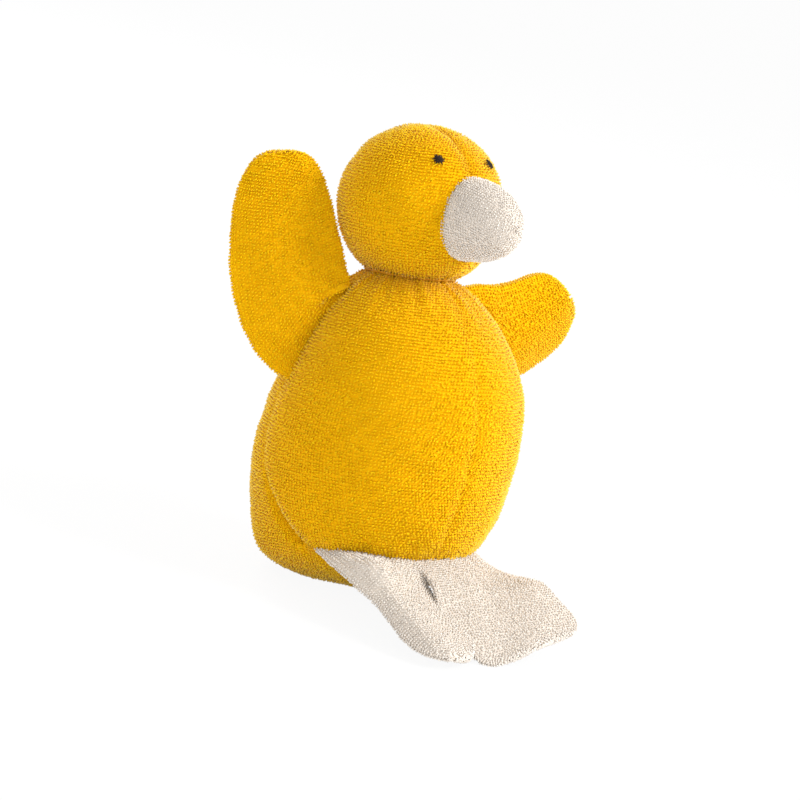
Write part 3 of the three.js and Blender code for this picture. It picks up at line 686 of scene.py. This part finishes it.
def unevenness(p):
    """Slow swells of the filling, from a place in millimetres."""
    x, y, z = np.moveaxis(p, -1, 0)
    wide = np.sin(x * 0.21 + z * 0.13) * np.sin(y * 0.19 - z * 0.17 + 1)
    small = np.sin(x * 0.55 + y * 0.31 + 2) * np.sin(z * 0.62 - x * 0.2)
    return 0.3 * wide + 0.14 * small


def plain_cloth(turn, share):
    """Cloth without a crease."""
    return np.zeros(np.shape(turn))


def lay_cloth(piece, surface, grid, crease=plain_cloth):
    """Shapes a drum, or what is left of it, as the cloth that the loops are sewn through."""
    turn, share = grid_place(piece, *grid)
    here = surface(turn, share)
    write_points(piece, sewn_to_row(here))
    point_normals_out()
    out = read_all(piece.data.vertex_normals, "vector").astype(float)
    write_points(piece, sewn_to_row(here) + out * (unevenness(here)[:, None] - LOOP_SUNK) / 1000)
    paint(piece, "nap", out)
    # Height 0 gives the cloth between the loops painted shade, and crease paints shade in its seams and
    # creases.
    paint(piece, "height", np.zeros(len(turn)))
    paint(piece, "shade", np.full(len(turn), 0.5))
    paint(piece, "crease", crease(turn, share))
    lay_chart(piece, (turn + 180) / 360, share)
    finish_mesh(piece)


def stray(random, count):
    return random.uniform(-LOOP_STRAY, LOOP_STRAY, count)


def panel_spots(surface, pitch, random, middles):
    """Where a panel's loops grow: rows a pitch apart, in columns on either side of each middle."""
    reach = 180 / len(middles)
    shares = np.linspace(0, 1, 401)
    grid = surface(*np.meshgrid(np.linspace(-180, 180, 361), shares))
    climb = path_length(grid)
    rows = int(climb[-1] / pitch)
    turn, share = [], []
    for middle in middles:
        turns = middle + np.linspace(-reach, reach, 241)
        for at in np.interp((np.arange(rows) + 0.5) * climb[-1] / rows, climb, shares):
            gone = path_length(surface(turns, np.full(len(turns), at)))
            gone -= gone[len(gone) // 2]
            columns = np.arange(math.ceil(gone[0] / pitch), math.floor(gone[-1] / pitch) + 1) * pitch
            columns = columns + stray(random, len(columns)) * pitch
            turn.append(np.interp(columns, gone, turns))
            share.append(at + stray(random, len(columns)) / rows)
    return wrap(np.concatenate(turn)), np.clip(np.concatenate(share), *SHARE_ENDS)


def limb_spots(surface, pitch, random):
    """Where a limb's loops grow: in lines from its root to its tip, thinned where the lines crowd."""
    turns = np.linspace(-180, 180, 721)
    gone = path_length(surface(turns, np.full(len(turns), 0.5)))
    lines = int(gone[-1] / pitch)
    shares = np.linspace(0, 1, 601)
    turn, share = [], []
    for at in np.interp((np.arange(lines) + 0.5) * gone[-1] / lines, gone, turns):
        gone_up = path_length(surface(np.full(len(shares), at), shares))
        places = np.arange(0.5 * pitch, gone_up[-1], pitch)
        places = places + stray(random, len(places)) * pitch
        share.append(np.interp(places, gone_up, shares))
        turn.append(at + stray(random, len(places)) * 360 / lines)
    turn, share = np.concatenate(turn), np.clip(np.concatenate(share), *SHARE_ENDS)
    beside = np.linalg.norm(surface(turn + 1, share) - surface(turn - 1, share), axis=-1)
    base = np.interp(turn, turns[:-1], np.diff(gone) * 4)
    kept = random.uniform(0, 1, len(turn)) < 1.3 * beside / base
    return turn[kept], share[kept]


def surface_frame(surface, turn, share):
    """Place, direction along the row, direction across it and outward normal at each spot."""
    step, rise = 0.4, 0.001
    here = surface(turn, share)
    row_way = surface(turn + step, share) - surface(turn - step, share)
    up_way = surface(turn, np.minimum(share + rise, 1)) - surface(turn, np.maximum(share - rise, 0))
    out = unit(np.cross(up_way, row_way))
    middle = (surface(turn, share) + surface(turn + 180, share)) / 2
    out *= np.sign(np.median(np.sum(out * (here - middle), -1)))
    row_way = unit(row_way)
    return here, row_way, np.cross(out, row_way), out


def loop_points(random, base, ways, pitch, height):
    """The points of a loop on each spot: its two ends, and then three rings round the yarn."""
    along, across, out = ways
    each = (len(base), 1)
    spin = random.normal(*LOOP_SPIN, each)
    tilt = np.clip(random.normal(*LOOP_TILT, each), -MOST_TILT, MOST_TILT)
    wide = random.uniform(*WIDTH_RANGE, each) * LOOP_WIDE * pitch / LOOP_PITCH
    high = random.uniform(*HEIGHT_RANGE, each) * height
    thick = random.uniform(*WIDTH_RANGE, each) * LOOP_THICK * pitch / LOOP_PITCH
    way = np.cos(spin) * along + np.sin(spin) * across
    side = -np.sin(spin) * along + np.cos(spin) * across
    up = np.cos(tilt) * out + np.sin(tilt) * side
    side = np.cos(tilt) * side - np.sin(tilt) * out
    path = [base + way * wide * a + up * high * c for a, c in LOOP_PATH]
    points = [path[0], path[-1]]
    for k in (1, 2, 3):
        bend = np.cross(unit(path[k + 1] - path[k - 1]), side)
        for angle in np.radians([90, 210, 330]):
            points.append(path[k] + thick * (np.cos(angle) * side + np.sin(angle) * bend))
    return np.stack(points, 1)


def loop_faces():
    """The triangles of a loop, whose points are its two ends and then three rings."""
    faces = []
    last = 2 + 2 * LOOP_SIDES
    for k in range(LOOP_SIDES):
        n = (k + 1) % LOOP_SIDES
        faces.append((0, 2 + n, 2 + k))
        for ring in (2, 2 + LOOP_SIDES):
            faces.append((ring + k, ring + n, ring + LOOP_SIDES + k))
            faces.append((ring + n, ring + LOOP_SIDES + n, ring + LOOP_SIDES + k))
        faces.append((1, last + k, last + n))
    return np.array(faces)


def make_pile(points):
    """All the loops as one mesh."""
    count, size = points.shape[:2]
    faces = (loop_faces()[None] + np.arange(count)[:, None, None] * size).reshape(-1, 3)
    mesh = bpy.data.meshes.new("pile")
    mesh.vertices.add(count * size)
    mesh.vertices.foreach_set("co", sewn_to_row(points).astype(np.float32).ravel())
    mesh.loops.add(faces.size)
    mesh.loops.foreach_set("vertex_index", faces.ravel().astype(np.int32))
    mesh.polygons.add(len(faces))
    mesh.polygons.foreach_set("loop_start", np.arange(len(faces), dtype=np.int32) * 3)
    mesh.update(calc_edges=True)
    return add_object("pile", mesh)


def chart_pile(pile, turn, share, local, along, across):
    """Maps each loop beside its spot, from its points' places there."""
    over = np.einsum("ijk,ik->ij", local, along)
    over = np.sign(over) * np.maximum(np.abs(over), 0.01)
    u = (turn[:, None] + 180) / 360 + over / CHART_SPAN
    v = share[:, None] + np.einsum("ijk,ik->ij", local, across) / CHART_SPAN
    lay_chart(pile, np.clip(u, 0, 1).ravel(), np.clip(v, 0, 1).ravel())


def grow_pile(piece, surface, keep, pitch, height, seed, middles=(), crease=plain_cloth):
    """Sews loops all over a piece's cloth, shorter in its creases and painted darker there as shade, and
    joins them to it.
    """
    random = np.random.default_rng(seed)
    if middles:
        turn, share = panel_spots(surface, pitch, random, middles)
    else:
        turn, share = limb_spots(surface, pitch, random)
    kept = keep(turn, share)
    turn, share = turn[kept], share[kept]
    here, *ways = surface_frame(surface, turn, share)
    along, across, out = ways
    sunk = crease(turn, share)
    base = here + out * (unevenness(here)[:, None] - LOOP_SUNK)
    high = height * (1 - CREASED_SHORTER * np.abs(sunk[:, None]))
    points = loop_points(random, base, ways, pitch, high)
    pile = make_pile(points)
    # Each loop's foot gets painted shade by its height, and loops in creases get painted shade by crease.
    paint(pile, "height", np.tile(LOOP_HEIGHTS, len(turn)))
    paint(pile, "shade", np.repeat(random.uniform(0, 1, len(turn)), len(LOOP_HEIGHTS)))
    paint(pile, "crease", np.repeat(sunk, len(LOOP_HEIGHTS)))
    paint(pile, "nap", np.repeat(lean(out), len(LOOP_HEIGHTS), axis=0))
    chart_pile(pile, turn, share, points - here[:, None], along, across)
    finish_mesh(pile)
    join_pieces([piece, pile])


# Panels of the body


def arc_heights(rows):
    """Heights of the body's rows, evenly spaced along its face, and the share of the belly seam's row."""
    base = np.linspace(0, 1, 400) ** 2 * BELLY_SEAM
    flank = np.linspace(BELLY_SEAM, BODY_TOP, 900)[1:]
    crown = BODY_TOP - 2 * (1 - np.linspace(0, 1, 200)) ** 2
    z = np.concatenate([base, flank[flank < BODY_TOP - 2], crown])
    arc = path_length(np.stack([body_radius(z), z], -1))
    seam_arc = np.interp(BELLY_SEAM, z, arc)
    seam_share = round(rows * seam_arc / arc[-1]) / rows
    share = np.linspace(0, 1, rows + 1)
    low = np.interp(share / seam_share, [0, 1], [0, seam_arc])
    high = np.interp((share - seam_share) / (1 - seam_share), [0, 1], [seam_arc, arc[-1]])
    return np.interp(np.where(share <= seam_share, low, high), arc, z), seam_share


HEIGHTS, SEAM_SHARE = arc_heights(BODY_GRID[1])
SEAM_TURN = round(BODY_GRID[0] * SIDE_SEAM / 360) * 360 / BODY_GRID[0]


def body_height(share):
    return np.interp(share, np.linspace(0, 1, len(HEIGHTS)), HEIGHTS)


def body_cloth(turn, share):
    """The body's face where the drum's columns and rows are bent to run along the seams."""
    z = body_height(share)
    seam = side_seam(z)
    turn = wrap(turn)
    size = np.abs(turn)
    front = seam * size / SEAM_TURN
    back = seam + (180 - seam) * (size - SEAM_TURN) / (180 - SEAM_TURN)
    return body_point(np.sign(turn) * np.where(size <= SEAM_TURN, front, back), z)


def front_of(sign):
    """Says which spots lie in the front panel on this side."""

    def inside(turn, share):
        turn = sign * wrap(turn + 1e-6)
        return (turn >= -1e-5) & (turn <= SEAM_TURN + 1e-5) & (share >= SEAM_SHARE - 1e-9)

    return inside


def at_back(turn, share):
    return (share <= SEAM_SHARE + 1e-9) | (np.abs(wrap(turn)) >= SEAM_TURN - 1e-6)


def body_crease(turn, share):
    """How near a spot lies to a seam of the body or to the drawn neck: 1 in it, 0 away from it. The material
    paints shade by it, and loops stand shorter there.
    """
    z = body_height(share)
    size = np.abs(wrap(turn))
    around = body_radius(z)
    above = z > BELLY_SEAM
    belly = np.where(size < SEAM_TURN, bell(z - BELLY_SEAM, 1.5), 0)
    sides = bell(np.radians(size - SEAM_TURN) * around, 1.3) * above * (0.2 + 0.7 * lowness(z))
    chest = 0.35 * bell(np.radians(size) * around, 1.2) * above
    # Painted shade round the neck, under the head.
    neck = smooth((z - NECK_HEIGHT + 5) / 5)
    return np.maximum.reduce([belly, sides, chest, neck])


def make_body_panel(name, inside, apex, replaced, seed, middles):
    piece = make_grid(name, *BODY_GRID)
    turn, share = grid_place(piece, *BODY_GRID)
    keep_faces(piece, inside(turn, share) | (share == 1))
    lay_cloth(piece, body_cloth, BODY_GRID, body_crease)
    close_inside(piece, apex)
    grow_pile(piece, body_cloth, inside, LOOP_PITCH, LOOP_HIGH, seed, middles, body_crease)
    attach(piece, "torso")
    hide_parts(*replaced)
    return piece


right_front = make_body_panel(
    "body_front_right_cloth", front_of(1), [-16, -14, 56], ["body_front_right"], 11, (50,)
)
left_front = make_body_panel(
    "body_front_left_cloth", front_of(-1), [16, -14, 56], ["body_front_left"], 12, (-50,)
)
back_nodes = ["body_back_and_base", "body_stuffing"]
back_panel = make_body_panel("body_back_and_base_cloth", at_back, [0, 24, 24], back_nodes, 13, (90, -90))

# Head, beak and eyes


def head_cloth(turn, share):
    return head_point(turn, share * 180 - 90)


def head_crease(turn, share):
    """1 in the seam over the crown and where the head rests on the shoulders, 0 away from them. The material
    paints shade by it, and loops stand shorter there.
    """
    a, e = np.radians(turn), np.radians(share * 180 - 90)
    seam = bell(HEAD_RADIUS * np.cos(e) * np.sin(a), 1.2)
    return np.maximum(seam * smooth(e + 0.6), smooth((-e - 0.75) / 0.3))


def eye_way(sign):
    flat = math.cos(EYE_RISE)
    turn = EYE_AZIMUTH if sign > 0 else LEFT_EYE_AZIMUTH
    return np.array([-sign * math.sin(turn) * flat, -math.cos(turn) * flat, math.sin(EYE_RISE)])


def eye_place(sign, raised=0):
    return UPWARD * HEAD_HEIGHT + eye_way(sign) * (HEAD_RADIUS + raised)


def make_head_half(name, sign, replaced, seed):
    def inside(turn, share):
        turn = wrap(turn)
        return (np.sign(np.round(turn, 4)) * sign >= 0) | (np.abs(turn) > 179.99)

    def clear_of_eye(turn, share):
        far = np.linalg.norm(head_cloth(turn, share) - eye_place(sign), axis=-1)
        return inside(turn, share) & (far > EYE_CLEAR)

    piece = make_grid(name, *HEAD_GRID)
    turn, share = grid_place(piece, *HEAD_GRID)
    keep_faces(piece, inside(turn, share) | (share == 0) | (share == 1))
    lay_cloth(piece, head_cloth, HEAD_GRID, head_crease)
    close_inside(piece, [-sign * 6, 0, HEAD_HEIGHT + 2])
    pitch, middles = LOOP_PITCH * 0.97, (sign * 50,)
    grow_pile(piece, head_cloth, clear_of_eye, pitch, LOOP_HIGH, seed, middles, head_crease)
    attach(piece, "head")
    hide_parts(*replaced)
    return piece


right_head = make_head_half("head_right_cloth", 1, ["head_cover_right", "head_stuffing"], 21)
left_head = make_head_half("head_left_cloth", -1, ["head_cover_left"], 22)


def past(least):
    """Says which spots lie beyond this share."""

    def outside(turn, share):
        return share > least

    return outside


def make_beak():
    piece = make_grid("beak_cloth", *BEAK_GRID)
    lay_cloth(piece, beak_point, BEAK_GRID)
    grow_pile(piece, beak_point, past(0.14), LOOP_PITCH * 0.86, LOOP_HIGH * 0.7, 31, (45,))
    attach(piece, "head")
    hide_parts("beak_cover", "beak_stuffing")
    return piece


beak = make_beak()

# Wings and feet


def wing_edge(turn, share):
    """Minus by the wing's edge, where the loops stand shorter but aren't darker."""
    return -1.2 * np.cos(np.radians(turn)) ** 4


def make_wing(side):
    surface = partial(wing_point, side)
    piece = make_grid("wing_" + side + "_cloth", *WING_GRID)
    lay_cloth(piece, surface, WING_GRID)
    seed = WINGS[side]["seed"]
    grow_pile(piece, surface, past(0.05), LOOP_PITCH, LOOP_HIGH, seed, crease=wing_edge)
    reach, middle = wing_frame(side)[2:]
    start, end = ((middle + at * reach) * mirror(side) for at in WING_BEND)
    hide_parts(*("wing_" + side + part for part in ("_front", "_back", "_batting")))
    sewn_to_row(start)
    sewn_to_row(end)
    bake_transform(piece)
    return piece


def make_foot(side):
    surface = partial(foot_point, side)
    piece = make_grid("foot_" + side + "_cloth", *FOOT_GRID)
    lay_cloth(piece, surface, FOOT_GRID)
    grow_pile(piece, surface, past(0.05), LOOP_PITCH * 0.9, LOOP_HIGH * 0.7, FEET[side]["seed"])
    ahead, root = foot_frame(side)[3:]
    start, end = (root + at * ahead for at in FOOT_BEND)
    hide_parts("foot_" + side + "_upper", "foot_" + side + "_sole")
    sewn_to_row(start)
    sewn_to_row(end)
    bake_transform(piece)
    return piece


wings = [make_wing(side) for side in WINGS]
feet = [make_foot(side) for side in FEET]

# Neck thread and filling


def round_axis(turn, level, z):
    """Points at these azimuths, distances from the toy's axis and heights."""
    a = np.radians(turn)
    return np.stack([-np.sin(a) * level, -np.cos(a) * level, z], -1)


def make_neck_thread():
    deselect()
    bpy.ops.mesh.primitive_torus_add(
        major_segments=240, minor_segments=12, major_radius=THREAD_LOOSE, minor_radius=1
    )
    piece = bpy.context.active_object
    piece.name = piece.data.name = "neck_gather"
    co = read_points(piece)
    turn = np.degrees(np.arctan2(-co[:, 0], -co[:, 1]))
    size = THREAD_HALF + gathers(turn, THREAD_UNEVEN)
    level = THREAD_DRAWN + (np.hypot(co[:, 0], co[:, 1]) - THREAD_LOOSE) * size
    z = NECK_HEIGHT + THREAD_RISE + co[:, 2] * size
    write_points(piece, sewn_to_row(round_axis(turn, level, z)))
    finish_mesh(piece)
    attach(piece, "neck_ring")
    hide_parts("neck_thread")
    return piece


def make_neck_filling():
    piece = make_grid("neck_filling", *NECK_GRID)
    turn, share = grid_place(piece, *NECK_GRID)
    radius = NECK_FILL_RADIUS * (1 - np.abs(2 * share - 1) ** 3) ** 0.5
    z = NECK_PIVOT + (share - NECK_FILL_BELOW) * NECK_FILL_HEIGHT
    write_points(piece, sewn_to_row(round_axis(turn, radius, z)))
    point_normals_out()
    finish_mesh(piece)
    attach(piece, "neck_core")
    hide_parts("neck_stuffing")
    return piece


neck_gather = make_neck_thread()
neck_filling = make_neck_filling()

# Eyes


def make_strand(name, sign, half, layer):
    """One of the two twisted strands of a stitch. Later stitches lie over earlier ones."""
    angle, length = EYE_STITCHES[layer]
    piece = make_grid(name + "_strand", *STRAND_GRID)
    turn, share = grid_place(piece, *STRAND_GRID)
    a, t = np.radians(turn), share * 2 - 1
    wide = STRAND_HALF * np.sqrt(1 - t**4)
    along, across = t * length, np.sin(a) * wide + half * STRAND_APART
    lift = np.cos(a) * wide + (STITCH_ARCH * (1 - t**2) + STITCH_LAYER * layer)
    angle = math.radians(angle + half * STRAND_TWIST)
    c, s = math.cos(angle), math.sin(angle)
    right, high = along * c - across * s, along * s + across * c
    out = eye_way(sign)
    side_way = unit(np.cross(UPWARD, out))
    sewn = eye_place(sign, EYE_RAISED) + right[:, None] * side_way
    sewn = sewn + high[:, None] * np.cross(out, side_way) + lift[:, None] * out
    write_points(piece, sewn_to_row(sewn))
    return piece


def make_eye(name, sign, replaced):
    """A star of satin stitches that cross at the middle."""
    strands = [make_strand(name, sign, half, k) for k in range(len(EYE_STITCHES)) for half in (-1, 1)]
    join_pieces(strands)
    eye = strands[0]
    eye.name = eye.data.name = name
    point_normals_out()
    finish_mesh(eye)
    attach(eye, "head")
    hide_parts(replaced)
    return eye


eyes = [make_eye("eye_right_stitches", 1, "eye_right"), make_eye("eye_left_stitches", -1, "eye_left")]

# Materials


class Graph:
    """Short calls for joining the nodes of a material or a world."""

    def __init__(self, owner):
        owner.use_nodes = True
        self.owner = owner
        self.nodes = owner.node_tree.nodes

    def node(self, kind, **settings):
        made = self.nodes.new(kind)
        for key, value in settings.items():
            setattr(made, key, value)
        return made

    def give(self, socket, value):
        """Sets a number or colour on a socket, or joins another node's output to it."""
        if isinstance(value, (int, float)):
            socket.default_value = value
        elif isinstance(value, tuple):
            socket.default_value = (*value, 1)
        else:
            self.owner.node_tree.links.new(value, socket)

    def fill(self, node, **values):
        """Gives values to a node's sockets, whose names are written with _ for a space."""
        for key, value in values.items():
            self.give(node.inputs[key.replace("_", " ")], value)

    def look(self, **values):
        self.fill(self.nodes["Principled BSDF"], **values)

    def read(self, name, output="Fac"):
        """What the cloth's points were painted with."""
        return self.node("ShaderNodeAttribute", attribute_name=name).outputs[output]

    def math(self, operation, *values):
        made = self.node("ShaderNodeMath", operation=operation)
        for socket, value in zip(made.inputs, values):
            self.give(socket, value)
        return made.outputs[0]

    def mix(self, share, a, b):
        made = self.node("ShaderNodeMix", data_type="RGBA")
        for k, value in ((0, share), (6, a), (7, b)):
            self.give(made.inputs[k], value)
        return made.outputs[2]

    def noise(self, scale, detail, roughness):
        made = self.node("ShaderNodeTexNoise")
        where = self.node("ShaderNodeTexCoord").outputs["Object"]
        self.fill(made, Vector=where, Scale=scale, Detail=detail, Roughness=roughness)
        return made.outputs["Fac"]

    def roughen(self, height):
        """Raises fibres on the surface."""
        bump = self.node("ShaderNodeBump")
        self.fill(bump, Strength=0.5, Distance=0.0002, Height=height)
        self.look(Normal=bump.outputs[0])

    def background_rays(self):
        """1 for what the camera sees, also in gloss and through glass, and 0 for what lights the toy."""
        path = self.node("ShaderNodeLightPath").outputs
        seen = self.math("MAXIMUM", path["Is Camera Ray"], path["Is Glossy Ray"])
        return self.math("MAXIMUM", seen, path["Is Transmission Ray"])


def terry_material(name, tip, root, deep, pale, nap, sheen):
    """Looped terry with painted shade: darker at the loops' feet and in creases, each loop a little lighter
    or darker than the next.
    """
    g = Graph(bpy.data.materials.new(name))
    fibre = g.noise(3200.0, 2.0, 0.7)
    patches = g.noise(26.0, 3.0, 0.55)
    # Painted shade: the loops' feet and the cloth between them take the darker root colour.
    colour = g.mix(g.math("MINIMUM", g.math("MULTIPLY", g.read("height"), 1.3), 1.0), root, tip)
    colour = g.mix(g.math("MULTIPLY", g.math("SUBTRACT", 0.62, patches), 0.5), colour, deep)
    colour = g.mix(g.math("MULTIPLY", g.math("POWER", g.read("shade"), 3.0), 0.4), colour, pale)
    colour = g.mix(g.math("MULTIPLY", g.math("SUBTRACT", 1.0, fibre), 0.35), colour, deep)
    # Painted shade: darker in the seams, the creases and where the head meets the body.
    colour = g.mix(g.math("MULTIPLY", g.read("crease"), 0.6), colour, deep)
    g.roughen(fibre)
    # The nap is pale where the cloth turns away, as loose fibres catch the light there.
    turned = g.node("ShaderNodeVectorTransform", vector_type="NORMAL")
    turned.convert_from, turned.convert_to = "OBJECT", "WORLD"
    g.fill(turned, Vector=g.read("nap", "Vector"))
    away = g.node("ShaderNodeLayerWeight")
    g.fill(away, Blend=0.5, Normal=turned.outputs[0])
    veil = g.math("MULTIPLY", g.math("POWER", away.outputs["Facing"], 2.5), sheen)
    g.look(Base_Color=colour, Roughness=0.95, Specular_IOR_Level=0.04)
    g.look(Sheen_Weight=veil, Sheen_Roughness=0.6, Sheen_Tint=nap)
    return g.owner


def thread_material(name, base, dark):
    g = Graph(bpy.data.materials.new(name))
    strand = g.noise(2600.0, 2.0, 0.6)
    g.roughen(strand)
    g.look(Base_Color=g.mix(strand, dark, base), Roughness=0.6, Specular_IOR_Level=0.2)
    return g.owner


def case_material():
    g = Graph(bpy.data.materials.new("rattle_case"))
    grain = g.noise(900.0, 3.0, 0.5)
    colour = g.mix(grain, (0.78, 0.8, 0.81), (0.86, 0.88, 0.89))
    g.look(Base_Color=colour, Roughness=g.math("ADD", g.math("MULTIPLY", grain, 0.15), 0.32))
    return g.owner


def bead_material():
    g = Graph(bpy.data.materials.new("rattle_beads"))
    scratch = g.noise(1500.0, 4.0, 0.6)
    colour = g.mix(scratch, (0.5, 0.5, 0.52), (0.66, 0.67, 0.69))
    rough = g.math("ADD", g.math("MULTIPLY", scratch, 0.25), 0.15)
    g.look(Base_Color=colour, Roughness=rough, Metallic=1.0)
    return g.owner


# root and deep are darker copies of tip. root is painted shade at the loops' feet; deep gives random patches
# and fibres and also painted shade in creases.
YELLOW_TERRY = terry_material(
    "yellow_terry",
    tip=(1.0, 0.64, 0.003),
    root=(0.92, 0.51, 0.002),
    deep=(0.68, 0.33, 0.002),
    pale=(1.0, 0.72, 0.02),
    nap=(1.0, 0.84, 0.45),
    sheen=1.0,
)
OFF_WHITE_TERRY = terry_material(
    "off_white_terry",
    tip=(0.90, 0.84, 0.77),
    root=(0.80, 0.73, 0.65),
    deep=(0.62, 0.54, 0.46),
    pale=(0.94, 0.90, 0.85),
    nap=(0.95, 0.92, 0.88),
    sheen=0.4,
)
BROWN_THREAD = thread_material("brown_thread", (0.022, 0.012, 0.008), (0.008, 0.004, 0.003))
YELLOW_THREAD = thread_material("yellow_thread", (0.62, 0.28, 0.003), (0.40, 0.16, 0.002))
WADDING = thread_material("polyester_filling", (0.9, 0.9, 0.87), (0.75, 0.75, 0.72))
CASE = case_material()
BEADS = bead_material()


def wear(pieces, material):
    for piece in pieces:
        piece.data.materials.clear()
        piece.data.materials.append(material)


wear([right_front, left_front, back_panel, right_head, left_head, *wings], YELLOW_TERRY)
wear([neck_gather], YELLOW_THREAD)
wear([beak, *feet], OFF_WHITE_TERRY)
wear(eyes, BROWN_THREAD)
wear([neck_filling], WADDING)
for name, node in frame["nodes"].items():
    if name.startswith("rattle_case"):
        node.material_slots[0].material = CASE
    if name.startswith("rattle_bead"):
        node.material_slots[0].material = BEADS

# Camera, floor and light

VIEW_AZIMUTH = math.radians(-40.5)
VIEW_RISE = math.radians(12.6)
VIEW_ROLL = math.radians(12.3)
VIEW_DISTANCE = 1.0
VIEW_FOCAL = 3030.0
SENSOR = 36
PICTURE = 800
HEAD_AT = (420, 205)
FLOOR_WHITE = 0.93
WORLD_LIGHT = 0.71
LAMP_AIM = (0, 0, 0.08)


def make_camera():
    a, e, r = VIEW_AZIMUTH, VIEW_RISE, VIEW_ROLL
    towards = np.array([math.sin(a) * math.cos(e), -math.cos(a) * math.cos(e), math.sin(e)])
    level = np.array([math.cos(a), math.sin(a), 0.0])
    upright = np.cross(towards, level)
    right = level * math.cos(r) + upright * math.sin(r)
    up = -level * math.sin(r) + upright * math.cos(r)
    head = sewn_to_row([0, 0, HEAD_HEIGHT])
    u, v = ((at - PICTURE / 2) / VIEW_FOCAL for at in HEAD_AT)
    eye = head + (towards - right * u + up * v) * VIEW_DISTANCE
    data = bpy.data.cameras.new("camera")
    data.sensor_width = SENSOR
    data.lens = VIEW_FOCAL * SENSOR / PICTURE
    data.clip_start, data.clip_end = 0.05, 20
    camera = add_object("camera", data)
    turn = Matrix(np.stack([right, up, towards], 1).tolist()).to_4x4()
    camera.matrix_world = Matrix.Translation(Vector(eye)) @ turn
    bpy.context.scene.camera = camera


def make_floor():
    """A pale floor that shows as nearly white and keeps a little of the toy's shadow."""
    deselect()
    bpy.ops.mesh.primitive_plane_add(size=6, location=(0, 0, 0))
    floor = bpy.context.active_object
    floor.name = "floor"
    g = Graph(bpy.data.materials.new("pale_floor"))
    g.look(Base_Color=(0.9, 0.9, 0.9), Roughness=0.9)
    blend = g.node("ShaderNodeMixShader")
    g.give(blend.inputs[0], g.math("MULTIPLY", g.background_rays(), FLOOR_WHITE))
    g.give(blend.inputs[1], g.nodes["Principled BSDF"].outputs[0])
    g.give(blend.inputs[2], g.node("ShaderNodeEmission").outputs[0])
    g.fill(g.nodes["Material Output"], Surface=blend.outputs[0])
    floor.data.materials.append(g.owner)


def make_world():
    """A background that shows as white and lights the toy a little less."""
    world = bpy.data.worlds.new("studio")
    bpy.context.scene.world = world
    g = Graph(world)
    strength = g.node("ShaderNodeMapRange")
    g.fill(strength, Value=g.background_rays(), To_Min=WORLD_LIGHT, To_Max=1.0)
    g.fill(g.nodes["Background"], Color=(1, 1, 1), Strength=strength.outputs[0])


def make_lamp(name, place, size, power):
    data = bpy.data.lights.new(name, "AREA")
    data.shape = "DISK"
    data.size = size
    data.energy = power
    lamp = add_object(name, data)
    lamp.location = place
    aim = Vector(LAMP_AIM) - Vector(place)
    lamp.rotation_euler = aim.to_track_quat("-Z", "Y").to_euler()


make_camera()
make_floor()
make_world()
make_lamp("key", (0.75, -1.05, 0.95), 0.6, 23)
make_lamp("fill", (-1.1, -0.8, 0.5), 0.9, 4)
make_lamp("rim", (0.2, 1.1, 0.8), 0.7, 8)
bpy.context.scene.view_settings.view_transform = "Standard"
